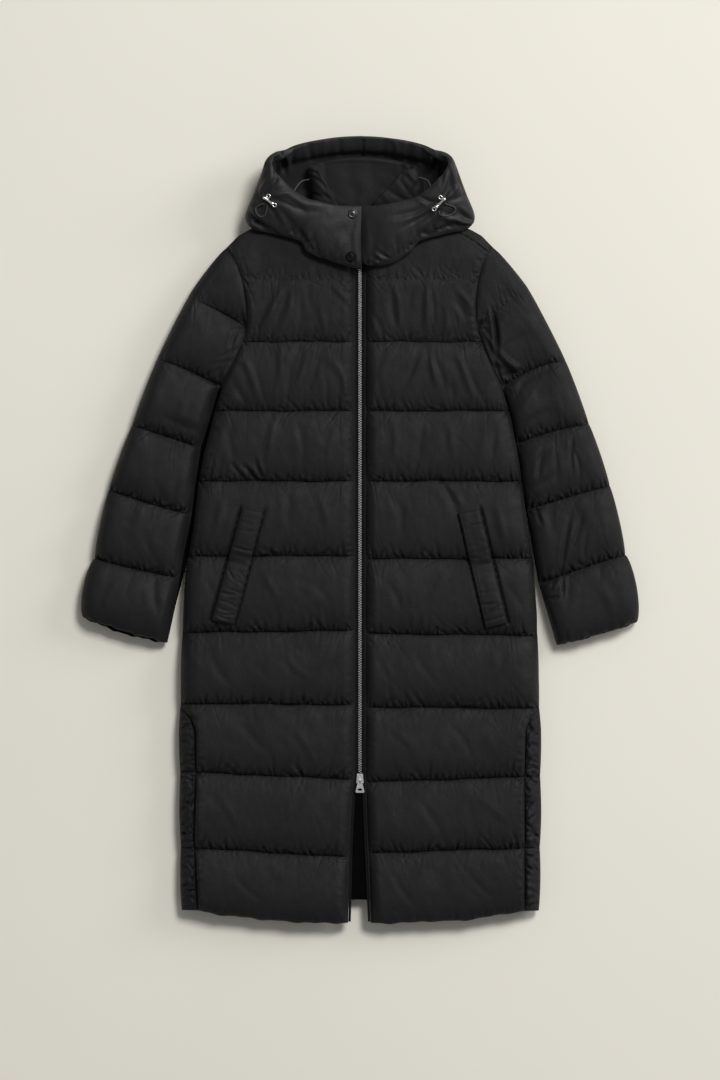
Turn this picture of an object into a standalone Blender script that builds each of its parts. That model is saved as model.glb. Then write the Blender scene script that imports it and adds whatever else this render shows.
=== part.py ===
"""Long hooded puffer coat, zipped and laid flat on its back.

The frame: +X runs across the coat to the side that lies on the right, +Y runs
from the hem to the hood, +Z is up, and the coat rests on z = 0 with its origin
under the middle of its outline. Tables and sizes below are in millimetres, and
make_object turns them into metres.

Each down-filled layer is a closed solid: a puffed outer side, pinched at every
quilting line, over a plain inside. The layers that rest on the ground have
their insides at LOWER_PLANE, the layers on top of them at UPPER_PLANE.
"""

import math
from collections import namedtuple

import bmesh
import bpy
from mathutils import Matrix, Vector
from mathutils.bvhtree import BVHTree

MM = 0.001

# ---------------------------------------------------------------- sizes
SEAM_GAP = 0.3          # between two pieces where they are sewn together
LOWER_PLANE = 25.7      # plain inside of the back and of the under sleeves
UPPER_PLANE = LOWER_PLANE + SEAM_GAP

BODY_PUFF = 25.0        # height of a front's baffle over its plain inside
SLEEVE_PUFF = 23.0
STRIP_PUFF = 17.0
STITCH_HEIGHT = 8.0     # what is left of that height on a quilting line
EDGE_HEIGHT = 5.0       # and at a panel's sewn or folded edge
PUFF_POWER = 0.55       # below 1, a baffle is round and its quilting line a sharp valley
UNDER_SWELL = 1.45      # the under layers would puff this far and are pressed flat
PUCKER = 1.8            # gathers beside each quilting line, up and down

ZIP_ROUND = 24.0        # a front rounds off over this width beside the zip
SIDE_ROUND = 38.0       # and over this width at its side
ARM_ROUND = 26.0        # and at the armhole
SLEEVE_ROUND = 46.0     # a sleeve rounds off over this width at its folds
SIDE_CLEARANCE = 2.6    # between the body and a sleeve that lies beside it

HOOD_THICKNESS = 16.0
COLLAR_THICKNESS = 11.0
WALL_EDGE_SHARE = 0.5   # share of a padded wall's thickness that is left at its edge

CHAIN_WIDTH = 6.0
CHAIN_HEIGHT = 3.0
CHAIN_BASE = UPPER_PLANE + 1.6
CHAIN_TOP_Y = 465.0
SLIDER_TOP_Y = -410.0
SLIDER_LENGTH = 16.0
SLIDER_WIDTH = 13.0
TAPE_THICKNESS = 1.2
TAPE_WIDTH = 4.2
TAPE_BOTTOM = CHAIN_BASE + 0.8

PLATE_THICKNESS = 1.6   # the slider's upper plate, 0.4 over the chain
PLATE_TOP = CHAIN_BASE + CHAIN_HEIGHT + 0.4 + PLATE_THICKNESS
BAIL_Y = SLIDER_TOP_Y - 10.5
BAIL_OUTER = 4.4        # half lengths of the bail's arch, outside and inside
BAIL_INNER = 2.7
BAIL_RISE = 1.9         # of the inside of the arch over its legs
BAIL_LEG = 1.2
BAIL_SEAT = 0.8
BAIL_WIDTH = 2.4
BAIL_STEPS = 8
HINGE_Z = PLATE_TOP + 1.5
TAB_THICKNESS = 1.8
TAB_REACH = 21.5
TAB_NECK = 6.2

BAFFLE_STEPS = (0.0, 0.12, 0.35, 0.65, 0.88)
BACK_STEPS = (0.0, 0.07, 0.2, 0.8, 0.93)
FRONT_COLUMNS = (0.0, 0.035, 0.1, 0.18, 0.26, 0.34, 0.42, 0.5,
                 0.58, 0.66, 0.74, 0.84, 0.92, 0.97, 1.0)
BACK_COLUMNS = (0.0, 0.15, 0.3, 0.45, 0.6, 0.72, 0.84, 0.93, 1.0)
SLEEVE_COLUMNS = (0.0, 0.05, 0.15, 0.28, 0.42, 0.56, 0.7, 0.84, 0.95, 1.0)
STRIP_COLUMNS = (0.0, 0.2, 0.5, 0.8, 1.0)


def table(columns, *rows):
    """Name the columns of a short table."""
    row_type = namedtuple("Row", columns)
    return [row_type(*row) for row in rows]


# Quilting lines from the neck down, at the zip and at the side seam. The first
# row stands for the neck and shoulder edge, which has tables of its own, and the
# last one is the hem. `full` is how full the baffle below the line is.
QUILTING = table(
    "left_zip left_side right_zip right_side back_mid back_side full",
    (466, 477, 466, 477, 512, 477, 0.70),
    (420, 420, 420, 420, 420, 420, 0.92),
    (316, 316, 316, 316, 316, 316, 1.00),
    (200, 200, 200, 200, 200, 200, 1.00),
    (82, 82, 82, 82, 82, 82, 1.00),
    (-44, -44, -49, -48, -46, -46, 1.00),
    (-169, -173, -174, -178, -172, -172, 1.00),
    (-294, -292, -298, -300, -296, -296, 1.00),
    (-420, -407, -424, -415, -412, -412, 1.00),
    (-550, -535, -543, -535, -536, -536, 0.96),
    (-661, -640, -661, -641, -622, -636, 0.96),
)

# Half width of the body: armhole down to the underarm, then the side.
UNDERARM_Y = 243
BODY_EDGE = table(
    "y left right",
    (477, 222, 222),
    (446, 207, 206),
    (415, 196, 198),
    (375, 190, 194),
    (338, 190, 197),
    (300, 203, 211),
    (268, 218, 225),
    (243, 232, 238),
    (191, 247, 254),
    (121, 265, 267),
    (75, 273, 274),
    (11, 280, 281),
    (-49, 290, 291),
    (-86, 295, 294),
    (-142, 298, 298),
    (-250, 300, 299),
    (-333, 303, 303),
    (-493, 302, 303),
    (-640, 300, 301),
)

# The seam between a front and its side strip, below the hip.
STRIP_TOP_Y = -299
STRIP_SEAM = table(
    "y left right",
    (-299, 302, 302),
    (-318, 284, 286),
    (-338, 277, 279),
    (-402, 276, 277),
    (-520, 279, 277),
    (-640, 273, 277),
)

# Where a front's edge runs beside the zip, and beside the open vent below it.
ZIP_EDGE = table(
    "y left right",
    (470, 7.8, 7.8),
    (-412, 7.8, 7.8),
    (-444, 12.5, 8.6),
    (-530, 17.0, 12.0),
    (-661, 20.0, 18.0),
)

# A front's neck and shoulder edge, and the back's.
FRONT_TOP = table(
    "across x y",
    (0.00, 7.8, 466),
    (0.18, 40, 471),
    (0.34, 76, 488),
    (0.45, 95, 508),
    (0.52, 105, 526),
    (0.70, 150, 517),
    (0.84, 186, 505),
    (0.92, 206, 494),
    (1.00, 222, 477),
)
BACK_TOP = table(
    "across x y",
    (0.00, 0, 512),
    (0.30, 62, 514),
    (0.45, 95, 520),
    (0.50, 105, 526),
    (0.70, 150, 517),
    (0.84, 186, 505),
    (0.92, 206, 494),
    (1.00, 222, 477),
)

# Sleeves: each row is a quilting line from the outer fold to the armhole or the
# inner fold. `bow` lifts the line's middle towards the hood, `bulge` pushes the
# outer fold of the baffle below it outwards, `full` is how full that baffle is.
LEFT_SLEEVE = table(
    "outer_x outer_y inner_x inner_y bow bulge full",
    (231, 476, 223, 477, 0, 4, 0.80),
    (289, 391, 191, 341, 3, 2, 1.00),
    (341, 287, 234, 240, 4, 2, 1.00),
    (383, 176, 266, 138, 0, 3, 1.00),
    (422, 67, 281, 25, -2, 4, 1.00),
    (446, -48, 303, -81, -2, 11, 1.00),
    (465, -148, 327, -190, -2, 0, 1.00),
)
RIGHT_SLEEVE = table(
    "outer_x outer_y inner_x inner_y bow bulge full",
    (231, 476, 223, 477, 0, 2, 0.80),
    (284, 404, 196, 343, 3, 2, 1.00),
    (346, 284, 240, 240, 9, 2, 1.00),
    (385, 178, 264, 145, 4, 3, 1.00),
    (420, 74, 283, 33, 2, 4, 1.00),
    (446, -42, 304, -91, 2, 11, 1.00),
    (465, -156, 334, -194, -2, 0, 1.00),
)
CUFF_DROP = 8.0         # the under sleeve shows this far past the upper one
HEM_SAG = 7.0           # a front's hem bows down by this much between its corners

# The largest creases of the fronts: where each one's middle lies, the way it
# runs (degrees from +X), its length, its width and its depth.
FRONT_CREASES = table(
    "side x y turn length width depth",
    (-1, 60, 372, 74, 95, 15, 3.0),
    (-1, 128, 360, 82, 80, 14, 3.0),
    (-1, 168, 262, 60, 85, 15, 3.5),
    (-1, 92, 145, 80, 70, 16, 2.5),
    (-1, 215, -8, 66, 70, 15, 3.0),
    (-1, 70, -105, 100, 80, 16, 2.5),
    (-1, 236, -235, 84, 80, 15, 3.0),
    (-1, 110, -480, 96, 80, 16, 2.5),
    (1, 55, 368, 104, 95, 15, 3.0),
    (1, 120, 352, 70, 90, 14, 3.0),
    (1, 178, 250, 118, 85, 15, 3.5),
    (1, 138, 60, 122, 70, 15, 3.5),
    (1, 95, 140, 84, 70, 16, 2.5),
    (1, 60, -110, 78, 80, 16, 2.5),
    (1, 240, -240, 96, 80, 15, 3.0),
    (1, 118, -482, 84, 80, 16, 2.5),
)

# The largest creases of the upper sleeves: where along (in baffles) and across.
SLEEVE_CREASES = table(
    "side along across run reach width depth",
    (-1, 1.62, 0.80, 0.30, 0.55, 0.16, 4.0),
    (-1, 2.30, 0.72, 0.25, 0.45, 0.14, 3.5),
    (-1, 3.45, 0.35, -0.20, 0.40, 0.16, 3.0),
    (-1, 4.55, 0.60, 0.25, 0.45, 0.15, 3.0),
    (1, 1.55, 0.85, -0.30, 0.50, 0.16, 4.5),
    (1, 2.28, 0.80, 0.30, 0.45, 0.14, 4.5),
    (1, 2.62, 0.66, 0.30, 0.50, 0.14, 3.5),
    (1, 3.50, 0.40, -0.20, 0.40, 0.16, 3.0),
    (1, 4.50, 0.55, 0.25, 0.45, 0.15, 3.0),
)

# Hood: sections of the wall's middle, from the neck seam to the face edge, in
# the order that they go round from the side of the chin to the crown. x is a
# half width, so both halves share them.
HOOD_SECTIONS = table(
    "neck outward side inward face thick",
    ((98, 485, 50), (98, 498, 57), (99, 521, 66), (95, 545, 70), (90, 554, 67), 1.00),
    ((140, 498, 47), (143, 510, 54), (139, 534, 66), (124, 561, 74), (117, 572, 71), 1.00),
    ((170, 505, 43), (180, 517, 47), (172, 547, 59), (151, 590, 73), (145, 604, 72), 0.90),
    ((181, 518, 35), (185, 532, 33), (169, 570, 44), (153, 614, 66), (147, 619, 68), 0.80),
    ((152, 519.8, 22), (160, 546, 15), (148, 600, 24), (137, 627, 50), (132, 625, 62), 0.95),
    ((106, 525.8, 13), (114, 572, 9), (110, 628, 16), (105, 642, 40), (101, 637, 55), 1.00),
    ((50, 513.9, 12), (54, 572, 8), (52, 637, 13), (50, 652, 36), (48, 648, 50), 1.00),
)
CROWN = ((0, 511.8, 12), (0, 572, 8), (0, 642, 12), (0, 655.2, 35), (0, 652, 48), 0.85)

# The chin band's two ends: the left one lies on the right one.
LEFT_CHIN = table(
    "neck outward side inward face thick",
    ((-2, 437, 62), (-2, 452, 64.5), (-1, 490, 66), (-2, 531, 65), (-2, 542, 63), 0.55),
    ((16, 441, 61), (16, 456, 64.5), (16, 494, 66.5), (16, 532, 66), (16, 542, 64), 0.60),
    ((48, 452, 58), (48, 468, 63), (49, 504, 68), (46, 534, 67), (44, 544, 65), 0.95),
    ((84, 466, 55), (80, 482, 61), (76, 512, 68), (73, 540, 68.5), (70, 549, 66), 1.00),
)
RIGHT_CHIN = table(
    "neck outward side inward face thick",
    ((-20, 452, 53), (-20, 464, 53.5), (-20, 494, 54), (-20, 528, 53.5), (-20, 538, 53), 0.45),
    ((-1, 449, 53), (-1, 461, 53.5), (-1, 494, 54), (-1, 530, 53.5), (-1, 540, 53), 0.45),
    ((20, 444, 54.5), (20, 458, 58), (20, 496, 60), (20, 532, 59), (20, 542, 57), 0.65),
    ((50, 448, 57), (50, 466, 62), (51, 502, 67.5), (48, 534, 66.5), (46, 545, 64.5), 0.95),
    ((80, 467, 55), (78, 482, 61), (76, 512, 68), (73, 540, 68.5), (70, 550, 66), 1.00),
)
STATION_STEPS = 3       # rows of points between two sections
SECTION_STEPS = 2       # points between two named points of a section

# Collar: rings of the wall's middle from the neck seam up. Each ring is a flat
# loop, open at the front between its two edges.
COLLAR_RINGS = table(
    "y_front y_outer y_back left right z_low z_high left_edge right_edge",
    (468, 518.4, 513.4, 80, 80, 23.5, 36.0, 7, 7),
    (506, 532, 535, 79, 84, 23.5, 39.0, 26, 17),
    (549, 556, 570, 75, 100, 24.0, 45.0, 42, 26),
    (586, 582, 602, 78, 101, 25.0, 50.0, 56, 56),
    (614, 598, 624, 84, 92, 27.5, 49.0, 69, 73),
)
NECK_GAP = 0.5          # between the collar's lowest ring and the fronts' neck edge
COLLAR_TURN_STEPS = 5
COLLAR_STEPS = 3

# Pocket welts: corners of the long opening edge and of the sewn edge.
LEFT_WELT = table("x y", (198, 37), (163, 30), (212, -160), (249, -152))
RIGHT_WELT = table("x y", (200, 35), (165, 28), (211, -166), (247, -157))
WELT_THICKNESS = 5.0
WELT_ACROSS = 3
WELT_ALONG = 16

SNAP_PLACES = table("name x y", ("snap_upper", -12, 529), ("snap_lower", -15, 458))
SNAP_RADIUS = 7.8

# Cord toggles: the bar's two ends, and how far along it the ring on its upper side is.
TOGGLES = table(
    "side bar_from bar_to ring_share",
    (-1, (-162.0, 556.5), (-144.5, 544.5), 0.3),
    (1, (142.5, 554.5), (125.5, 537.5), 0.2),
)
TOGGLE_RADIUS = 2.3
RING_RADIUS = 2.7
RING_WIRE = 0.9
RING_SEAT = 0.6         # how deep a ring's wire sits in the bar

# The loops of cord under the toggles, as they lie on the hood.
LEFT_LOOP = ((-160.5, 545.5), (-168, 543.5), (-174, 539.5), (-174.3, 533.5), (-171.5, 527.5),
             (-165.5, 524.0), (-159.8, 526.5), (-157.0, 532.5), (-155.8, 538.5), (-155.2, 543.5))
RIGHT_LOOP = ((142.0, 545.5), (149, 543.0), (156, 541.0), (160.0, 536.5), (157.0, 531.0),
              (151.5, 527.5), (145, 525.5), (138, 525.3), (133.0, 528.5), (131.5, 533.5))
CORD_RADIUS = 1.3
LOOP_STEPS = 2
LOOP_GAP = 0.8          # between an elastic loop's end and what it is sewn to
LOOP_LEAD = 4.0         # its first stretch, straight off that surface

# The short elastic loops that tie the hood's inside to the collar.
COLLAR_LOOPS = table(
    "side route",
    (-1, ((-114, 562, 57), (-109, 571, 54), (-103, 580, 50), (-96, 586, 45), (-88, 588, 41))),
    (1, ((120, 573, 58), (117, 579, 58), (113, 586, 58), (108, 592, 59))),
)


# ---------------------------------------------------------------- arithmetic
def blend(a, b, share):
    return a + (b - a) * share


def blend_point(a, b, share):
    return tuple(blend(p, q, share) for p, q in zip(a, b))


def read_table(rows, key, column, value):
    """Value of a column at a key, straight between rows and held past the ends."""
    ordered = sorted(rows, key=lambda row: getattr(row, key))
    first, last = ordered[0], ordered[-1]
    if value <= getattr(first, key):
        return getattr(first, column)
    if value >= getattr(last, key):
        return getattr(last, column)
    for low, high in zip(ordered, ordered[1:]):
        start, end = getattr(low, key), getattr(high, key)
        if value <= end:
            share = (value - start) / (end - start)
            return blend(getattr(low, column), getattr(high, column), share)
    return getattr(last, column)


def smooth_between(points, index, share):
    """Point on the smooth curve through a row of points (Catmull-Rom)."""
    before = points[max(index - 1, 0)]
    start = points[index]
    end = points[min(index + 1, len(points) - 1)]
    after = points[min(index + 2, len(points) - 1)]
    t = share
    result = []
    for p0, p1, p2, p3 in zip(before, start, end, after):
        result.append(0.5 * (2 * p1 + (p2 - p0) * t
                             + (2 * p0 - 5 * p1 + 4 * p2 - p3) * t * t
                             + (3 * p1 - p0 - 3 * p2 + p3) * t * t * t))
    return tuple(result)


def smooth_row(points, steps):
    """All points of that curve, `steps` to each stretch."""
    row = []
    for index in range(len(points) - 1):
        for step in range(steps):
            row.append(smooth_between(points, index, step / steps))
    row.append(tuple(points[-1]))
    return row


def rounding(distance, width):
    """Quarter round: 0 at an edge, 1 from `width` inwards."""
    share = min(max(distance / width, 0.0), 1.0)
    return math.sqrt(1.0 - (1.0 - share) ** 2)


def puffed(share, top):
    """Height of a baffle over its inside, `share` of the way across it."""
    crown = max(4.0 * share * (1.0 - share), 0.0) ** PUFF_POWER
    return STITCH_HEIGHT + (top - STITCH_HEIGHT) * crown


def uneven(i, j):
    """A repeatable number between -1 and 1 for the j-th gather on the i-th line."""
    return math.sin(12.99 * i + 78.23 * j + 0.7 * i * j)


def baffle_rows(steps, count):
    """Rows of points down a quilted panel, counted in baffles."""
    rows = [baffle + step for baffle in range(count) for step in steps]
    return rows + [float(count)]


# ---------------------------------------------------------------- looks
Look = namedtuple("Look", "colour roughness metallic")
SHELL = Look((0.018, 0.018, 0.020), 0.55, 0.0)
TAPE = Look((0.020, 0.020, 0.021), 0.80, 0.0)
CORD = Look((0.022, 0.022, 0.023), 0.70, 0.0)
ELASTIC = Look((0.200, 0.200, 0.200), 0.60, 0.0)
ZIP_METAL = Look((0.620, 0.620, 0.630), 0.35, 1.0)
NICKEL = Look((0.750, 0.740, 0.720), 0.22, 1.0)
GUNMETAL = Look((0.100, 0.100, 0.110), 0.35, 1.0)


def make_material(name, look):
    material = bpy.data.materials.new(name)
    material.use_nodes = True
    shader = material.node_tree.nodes["Principled BSDF"]
    shader.inputs["Base Color"].default_value = (*look.colour, 1.0)
    shader.inputs["Roughness"].default_value = look.roughness
    shader.inputs["Metallic"].default_value = look.metallic
    return material


# ---------------------------------------------------------------- solids
def make_object(name, points, faces, look, smooth=True):
    """Make a closed object from points in millimetres, its faces pointing out."""
    mesh = bpy.data.meshes.new(name)
    mesh.from_pydata([tuple(value * MM for value in point) for point in points], [], faces)
    shape = bmesh.new()
    shape.from_mesh(mesh)
    bmesh.ops.recalc_face_normals(shape, faces=shape.faces)
    shape.to_mesh(mesh)
    shape.free()
    mesh.materials.append(make_material(name, look))
    if smooth:
        mesh.shade_smooth()
        mesh.set_sharp_from_angle(angle=math.radians(50))
    item = bpy.data.objects.new(name, mesh)
    bpy.context.collection.objects.link(item)
    return item


def join_rows(upper, lower):
    """Faces between two rows of a plain inside, which may be just its two ends."""
    if len(upper) == len(lower):
        return [(upper[k], upper[k + 1], lower[k + 1], lower[k]) for k in range(len(upper) - 1)]
    long_row, ends = (upper, lower) if len(upper) > len(lower) else (lower, upper)
    middle = len(long_row) // 2
    faces = [(ends[0], long_row[k], long_row[k + 1]) for k in range(middle)]
    faces += [(ends[-1], long_row[k], long_row[k + 1]) for k in range(middle, len(long_row) - 1)]
    faces.append((ends[0], long_row[middle], ends[-1]))
    return faces


def make_panel(name, grid, plane, curved_rows=()):
    """Close a grid of outer points with an upright rim and a plain inside.

    The inside has all its points in the curved rows and at both ends, and only
    its two side points in the straight rows between them.
    """
    last_row, last_column = len(grid) - 1, len(grid[0]) - 1
    points = [point for row in grid for point in row]

    def outer(i, j):
        return i * (last_column + 1) + j

    inside = []
    for i, row in enumerate(grid):
        whole = i in curved_rows or i in (0, last_row)
        columns = range(last_column + 1) if whole else (0, last_column)
        indices = []
        for j in columns:
            indices.append(len(points))
            points.append((row[j][0], row[j][1], plane))
        inside.append(indices)

    faces = []
    for i in range(last_row):
        for j in range(last_column):
            faces.append((outer(i, j), outer(i, j + 1), outer(i + 1, j + 1), outer(i + 1, j)))
        faces.extend(join_rows(inside[i], inside[i + 1]))
        faces.append((outer(i, 0), outer(i + 1, 0), inside[i + 1][0], inside[i][0]))
        faces.append((outer(i, last_column), outer(i + 1, last_column),
                      inside[i + 1][-1], inside[i][-1]))
    for j in range(last_column):
        faces.append((outer(0, j), outer(0, j + 1), inside[0][j + 1], inside[0][j]))
        faces.append((outer(last_row, j), outer(last_row, j + 1),
                      inside[-1][j + 1], inside[-1][j]))
    return make_object(name, points, faces, SHELL)


def make_wall(name, middle, thickness, upright_end=False):
    """Close a padded wall round a grid of points along its middle.

    Half the thickness goes to each side of the middle, and no point goes below
    the ground. With an upright end, the last row stays in its plane of constant
    x, so that it meets the other half of the coat face to face.
    """
    last_row, last_column = len(middle) - 1, len(middle[0]) - 1
    front, back = [], []
    for i, row in enumerate(middle):
        for j, point in enumerate(row):
            along = Vector(middle[min(i + 1, last_row)][j]) - Vector(middle[max(i - 1, 0)][j])
            across = Vector(row[min(j + 1, last_column)]) - Vector(row[max(j - 1, 0)])
            normal = along.cross(across)
            if upright_end and i == last_row:
                normal.x = 0.0
            half = normal.normalized() * (thickness(i, j) / 2)
            for side, store in ((1, front), (-1, back)):
                moved = Vector(point) + side * half
                store.append((moved.x, moved.y, max(moved.z, 0.0)))
    width = last_column + 1
    shift = len(front)
    faces = []
    for i in range(last_row):
        for j in range(last_column):
            corner = [i * width + j, i * width + j + 1, (i + 1) * width + j + 1, (i + 1) * width + j]
            faces.append(tuple(corner))
            faces.append(tuple(index + shift for index in reversed(corner)))
    rim = [j for j in range(width)]
    rim += [i * width + last_column for i in range(1, last_row + 1)]
    rim += [last_row * width + j for j in range(last_column - 1, -1, -1)]
    rim += [i * width for i in range(last_row - 1, 0, -1)]
    for start, end in zip(rim, rim[1:] + rim[:1]):
        faces.append((start, end, end + shift, start + shift))
    return make_object(name, front + back, faces, SHELL)


def make_turned(name, profile, segments, look):
    """Turn a profile of (radius, height) points, which starts and ends on the axis."""
    points = [(0.0, 0.0, profile[0][1])]
    for radius, height in profile[1:-1]:
        for k in range(segments):
            angle = 2 * math.pi * k / segments
            points.append((radius * math.cos(angle), radius * math.sin(angle), height))
    points.append((0.0, 0.0, profile[-1][1]))
    rings = len(profile) - 2
    faces = []
    for k in range(segments):
        after = (k + 1) % segments
        faces.append((0, 1 + after, 1 + k))
        for ring in range(rings - 1):
            low, high = 1 + ring * segments, 1 + (ring + 1) * segments
            faces.append((low + k, low + after, high + after, high + k))
        top = 1 + (rings - 1) * segments
        faces.append((len(points) - 1, top + k, top + after))
    return make_object(name, points, faces, look)


def make_bar(name, profile, ends, place, look):
    """Draw a flat profile out between two ends; `place` turns (u, v, end) into a point."""
    count = len(profile)
    points = [place(u, v, end) for end in ends for u, v in profile]
    faces = [tuple(range(count)), tuple(range(2 * count - 1, count - 1, -1))]
    for k in range(count):
        after = (k + 1) % count
        faces.append((k, after, after + count, k + count))
    return make_object(name, points, faces, look, smooth=False)


def make_prism(name, outline, bottom, top, look):
    """Raise a flat outline into a plate between two heights."""
    return make_bar(name, outline, (bottom, top), lambda x, y, z: (x, y, z), look)


def make_lengthwise(name, profile, start_y, end_y, look):
    """Draw a profile of (x, z) points out along the coat's length."""
    return make_bar(name, profile, (start_y, end_y), lambda x, z, y: (x, y, z), look)


def make_ring(name, radius, wire, look, segments=12, sides=6):
    """A round wire ring about the Z axis."""
    points = []
    for k in range(segments):
        turn = 2 * math.pi * k / segments
        for m in range(sides):
            lift = 2 * math.pi * m / sides
            reach = radius + wire * math.cos(lift)
            points.append((reach * math.cos(turn), reach * math.sin(turn), wire * math.sin(lift)))
    faces = []
    for k in range(segments):
        for m in range(sides):
            here, there = k * sides, ((k + 1) % segments) * sides
            after = (m + 1) % sides
            faces.append((here + m, there + m, there + after, here + after))
    return make_object(name, points, faces, look)


def combine(item, tool, operation):
    """Join a tool to an item, or cut it away, and drop the tool from the build."""
    modifier = item.modifiers.new(tool.name, "BOOLEAN")
    modifier.operation = operation
    modifier.solver = "EXACT"
    modifier.object = tool
    tool.hide_render = True
    tool.display_type = "WIRE"


def settle(item):
    """Turn an item's modifiers into plain mesh."""
    bpy.context.view_layer.update()
    shaped = item.evaluated_get(bpy.context.evaluated_depsgraph_get())
    mesh = bpy.data.meshes.new_from_object(shaped)
    item.modifiers.clear()
    item.data = mesh


class Ground:
    """The upper side of some objects, to lay things on."""

    def __init__(self, *items):
        self.trees = []
        for item in items:
            shape = bmesh.new()
            shape.from_mesh(item.data)
            self.trees.append(BVHTree.FromBMesh(shape))
            shape.free()

    def height(self, x, y):
        """Height of the topmost surface over a place, in millimetres."""
        best = 0.0
        for tree in self.trees:
            hit, _, _, _ = tree.ray_cast(Vector((x * MM, y * MM, 1.0)), Vector((0, 0, -1)))
            if hit is not None:
                best = max(best, hit.z / MM)
        return best

    def height_round(self, x, y, reach):
        """Greatest height within a reach of a place."""
        spots = [(x + reach * a, y + reach * b) for a in (-1, -0.5, 0, 0.5, 1)
                 for b in (-1, -0.5, 0, 0.5, 1)]
        return max(self.height(*spot) for spot in spots)

    def facing(self, x, y, reach):
        """Mean outward direction of the surface round a place."""
        total = Vector((0.0, 0.0, 0.0))
        for a, b in ((0, 0), (-1, 0), (1, 0), (0, -1), (0, 1)):
            start = Vector(((x + reach * a) * MM, (y + reach * b) * MM, 1.0))
            for tree in self.trees:
                hit, normal, _, _ = tree.ray_cast(start, Vector((0, 0, -1)))
                if hit is not None and normal.z > 0:
                    total += normal
        return total.normalized()

    def room(self, point, direction):
        """Distance from a point, in metres, to the surface in a direction."""
        found = [tree.ray_cast(point, direction)[3] for tree in self.trees]
        return min((distance for distance in found if distance is not None), default=math.inf)

    def nearest(self, place):
        """The surface's nearest point to a place, and the way back from it."""
        point = Vector(place) * MM
        hits = [tree.find_nearest(point) for tree in self.trees]
        hit = min(hits, key=lambda found: found[3])[0]
        return hit / MM, (point - hit).normalized()


def drop(item, ground, direction):
    """Move an item along a direction until it lies a seam's gap off the ground."""
    bpy.context.view_layer.update()
    places = [item.matrix_world @ corner.co for corner in item.data.vertices]
    room = min(ground.room(place, direction) for place in places)
    item.location += direction * (room - SEAM_GAP * MM)


# ---------------------------------------------------------------- body
def side_name(side):
    return "left" if side < 0 else "right"


def body_edge(side, y):
    return read_table(BODY_EDGE, "y", side_name(side), y)


def front_edge(side, y):
    """A front's outer edge: armhole, side seam, then the seam of the side strip."""
    edge = body_edge(side, y)
    if y < STRIP_TOP_Y:
        edge = min(edge, read_table(STRIP_SEAM, "y", side_name(side), y))
    return edge


def zip_edge(side, y):
    return read_table(ZIP_EDGE, "y", side_name(side), y)


def quilting_y(side, line, across):
    row = QUILTING[line]
    name = side_name(side)
    return blend(getattr(row, name + "_zip"), getattr(row, name + "_side"), across)


def front_place(side, across, down):
    """Where a point of a front lies: `across` from zip to side, `down` in baffles."""
    line = min(int(down), len(QUILTING) - 2)
    share = down - line
    below = quilting_y(side, line + 1, across)
    if line > 0:
        y = blend(quilting_y(side, line, across), below, share)
        x = blend(zip_edge(side, y), front_edge(side, y), across)
        to_hem = max(0.0, down - len(QUILTING) + 2)
        return x, y - HEM_SAG * to_hem ** 2 * 4.0 * across * (1.0 - across)
    top = (read_table(FRONT_TOP, "across", "x", across), read_table(FRONT_TOP, "across", "y", across))
    bottom = (blend(zip_edge(side, below), front_edge(side, below), across), below)
    x, y = blend_point(top, bottom, share)
    edge_y = blend(FRONT_TOP[-1].y, quilting_y(side, 1, 1.0), share)
    edge_x = blend(FRONT_TOP[-1].x, front_edge(side, quilting_y(side, 1, 1.0)), share)
    return x + (front_edge(side, edge_y) - edge_x) * across ** 2, y


def crease_depth(side, x, y):
    """How far the largest creases pull a front down at a place."""
    depth = 0.0
    for crease in FRONT_CREASES:
        if crease.side != side:
            continue
        turn = math.radians(crease.turn)
        dx, dy = x - crease.x, y - crease.y
        along = dx * math.cos(turn) + dy * math.sin(turn)
        off = -dx * math.sin(turn) + dy * math.cos(turn)
        depth += (crease.depth * math.exp(-(off / crease.width) ** 2)
                  * math.exp(-(2 * along / crease.length) ** 2))
    return depth


def pucker(i, j, share):
    """Gathers beside a quilting line, none on the line or in the baffle's middle."""
    near = min(share, 1.0 - share)
    if near <= 0.0 or near > 0.2:
        return 0.0
    return PUCKER * uneven(i, j)


def make_front(side):
    rows = baffle_rows(BAFFLE_STEPS, len(QUILTING) - 1)
    grid = []
    for i, down in enumerate(rows):
        line = min(int(down), len(QUILTING) - 2)
        share = down - line
        full = BODY_PUFF * QUILTING[line].full
        row = []
        for j, across in enumerate(FRONT_COLUMNS):
            x, y = front_place(side, across, down)
            edge = front_place(side, 1.0, down)[0]
            side_width = ARM_ROUND if y > UNDERARM_Y else SIDE_ROUND
            taper = rounding(x - zip_edge(side, y), ZIP_ROUND) * rounding(edge - x, side_width)
            height = puffed(share, full) + pucker(i, j, share) - crease_depth(side, x, y)
            row.append((side * x, y, UPPER_PLANE + blend(EDGE_HEIGHT, height, taper)))
        grid.append(row)
    name = "front_" + side_name(side)
    item = make_panel(name, grid, UPPER_PLANE, range(len(BAFFLE_STEPS) + 1))
    zip_points = [(abs(row[0][0]), row[0][1]) for row in grid]
    side_points = [(abs(row[-1][0]), row[-1][1]) for row in grid]
    return item, zip_points, side_points


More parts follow.
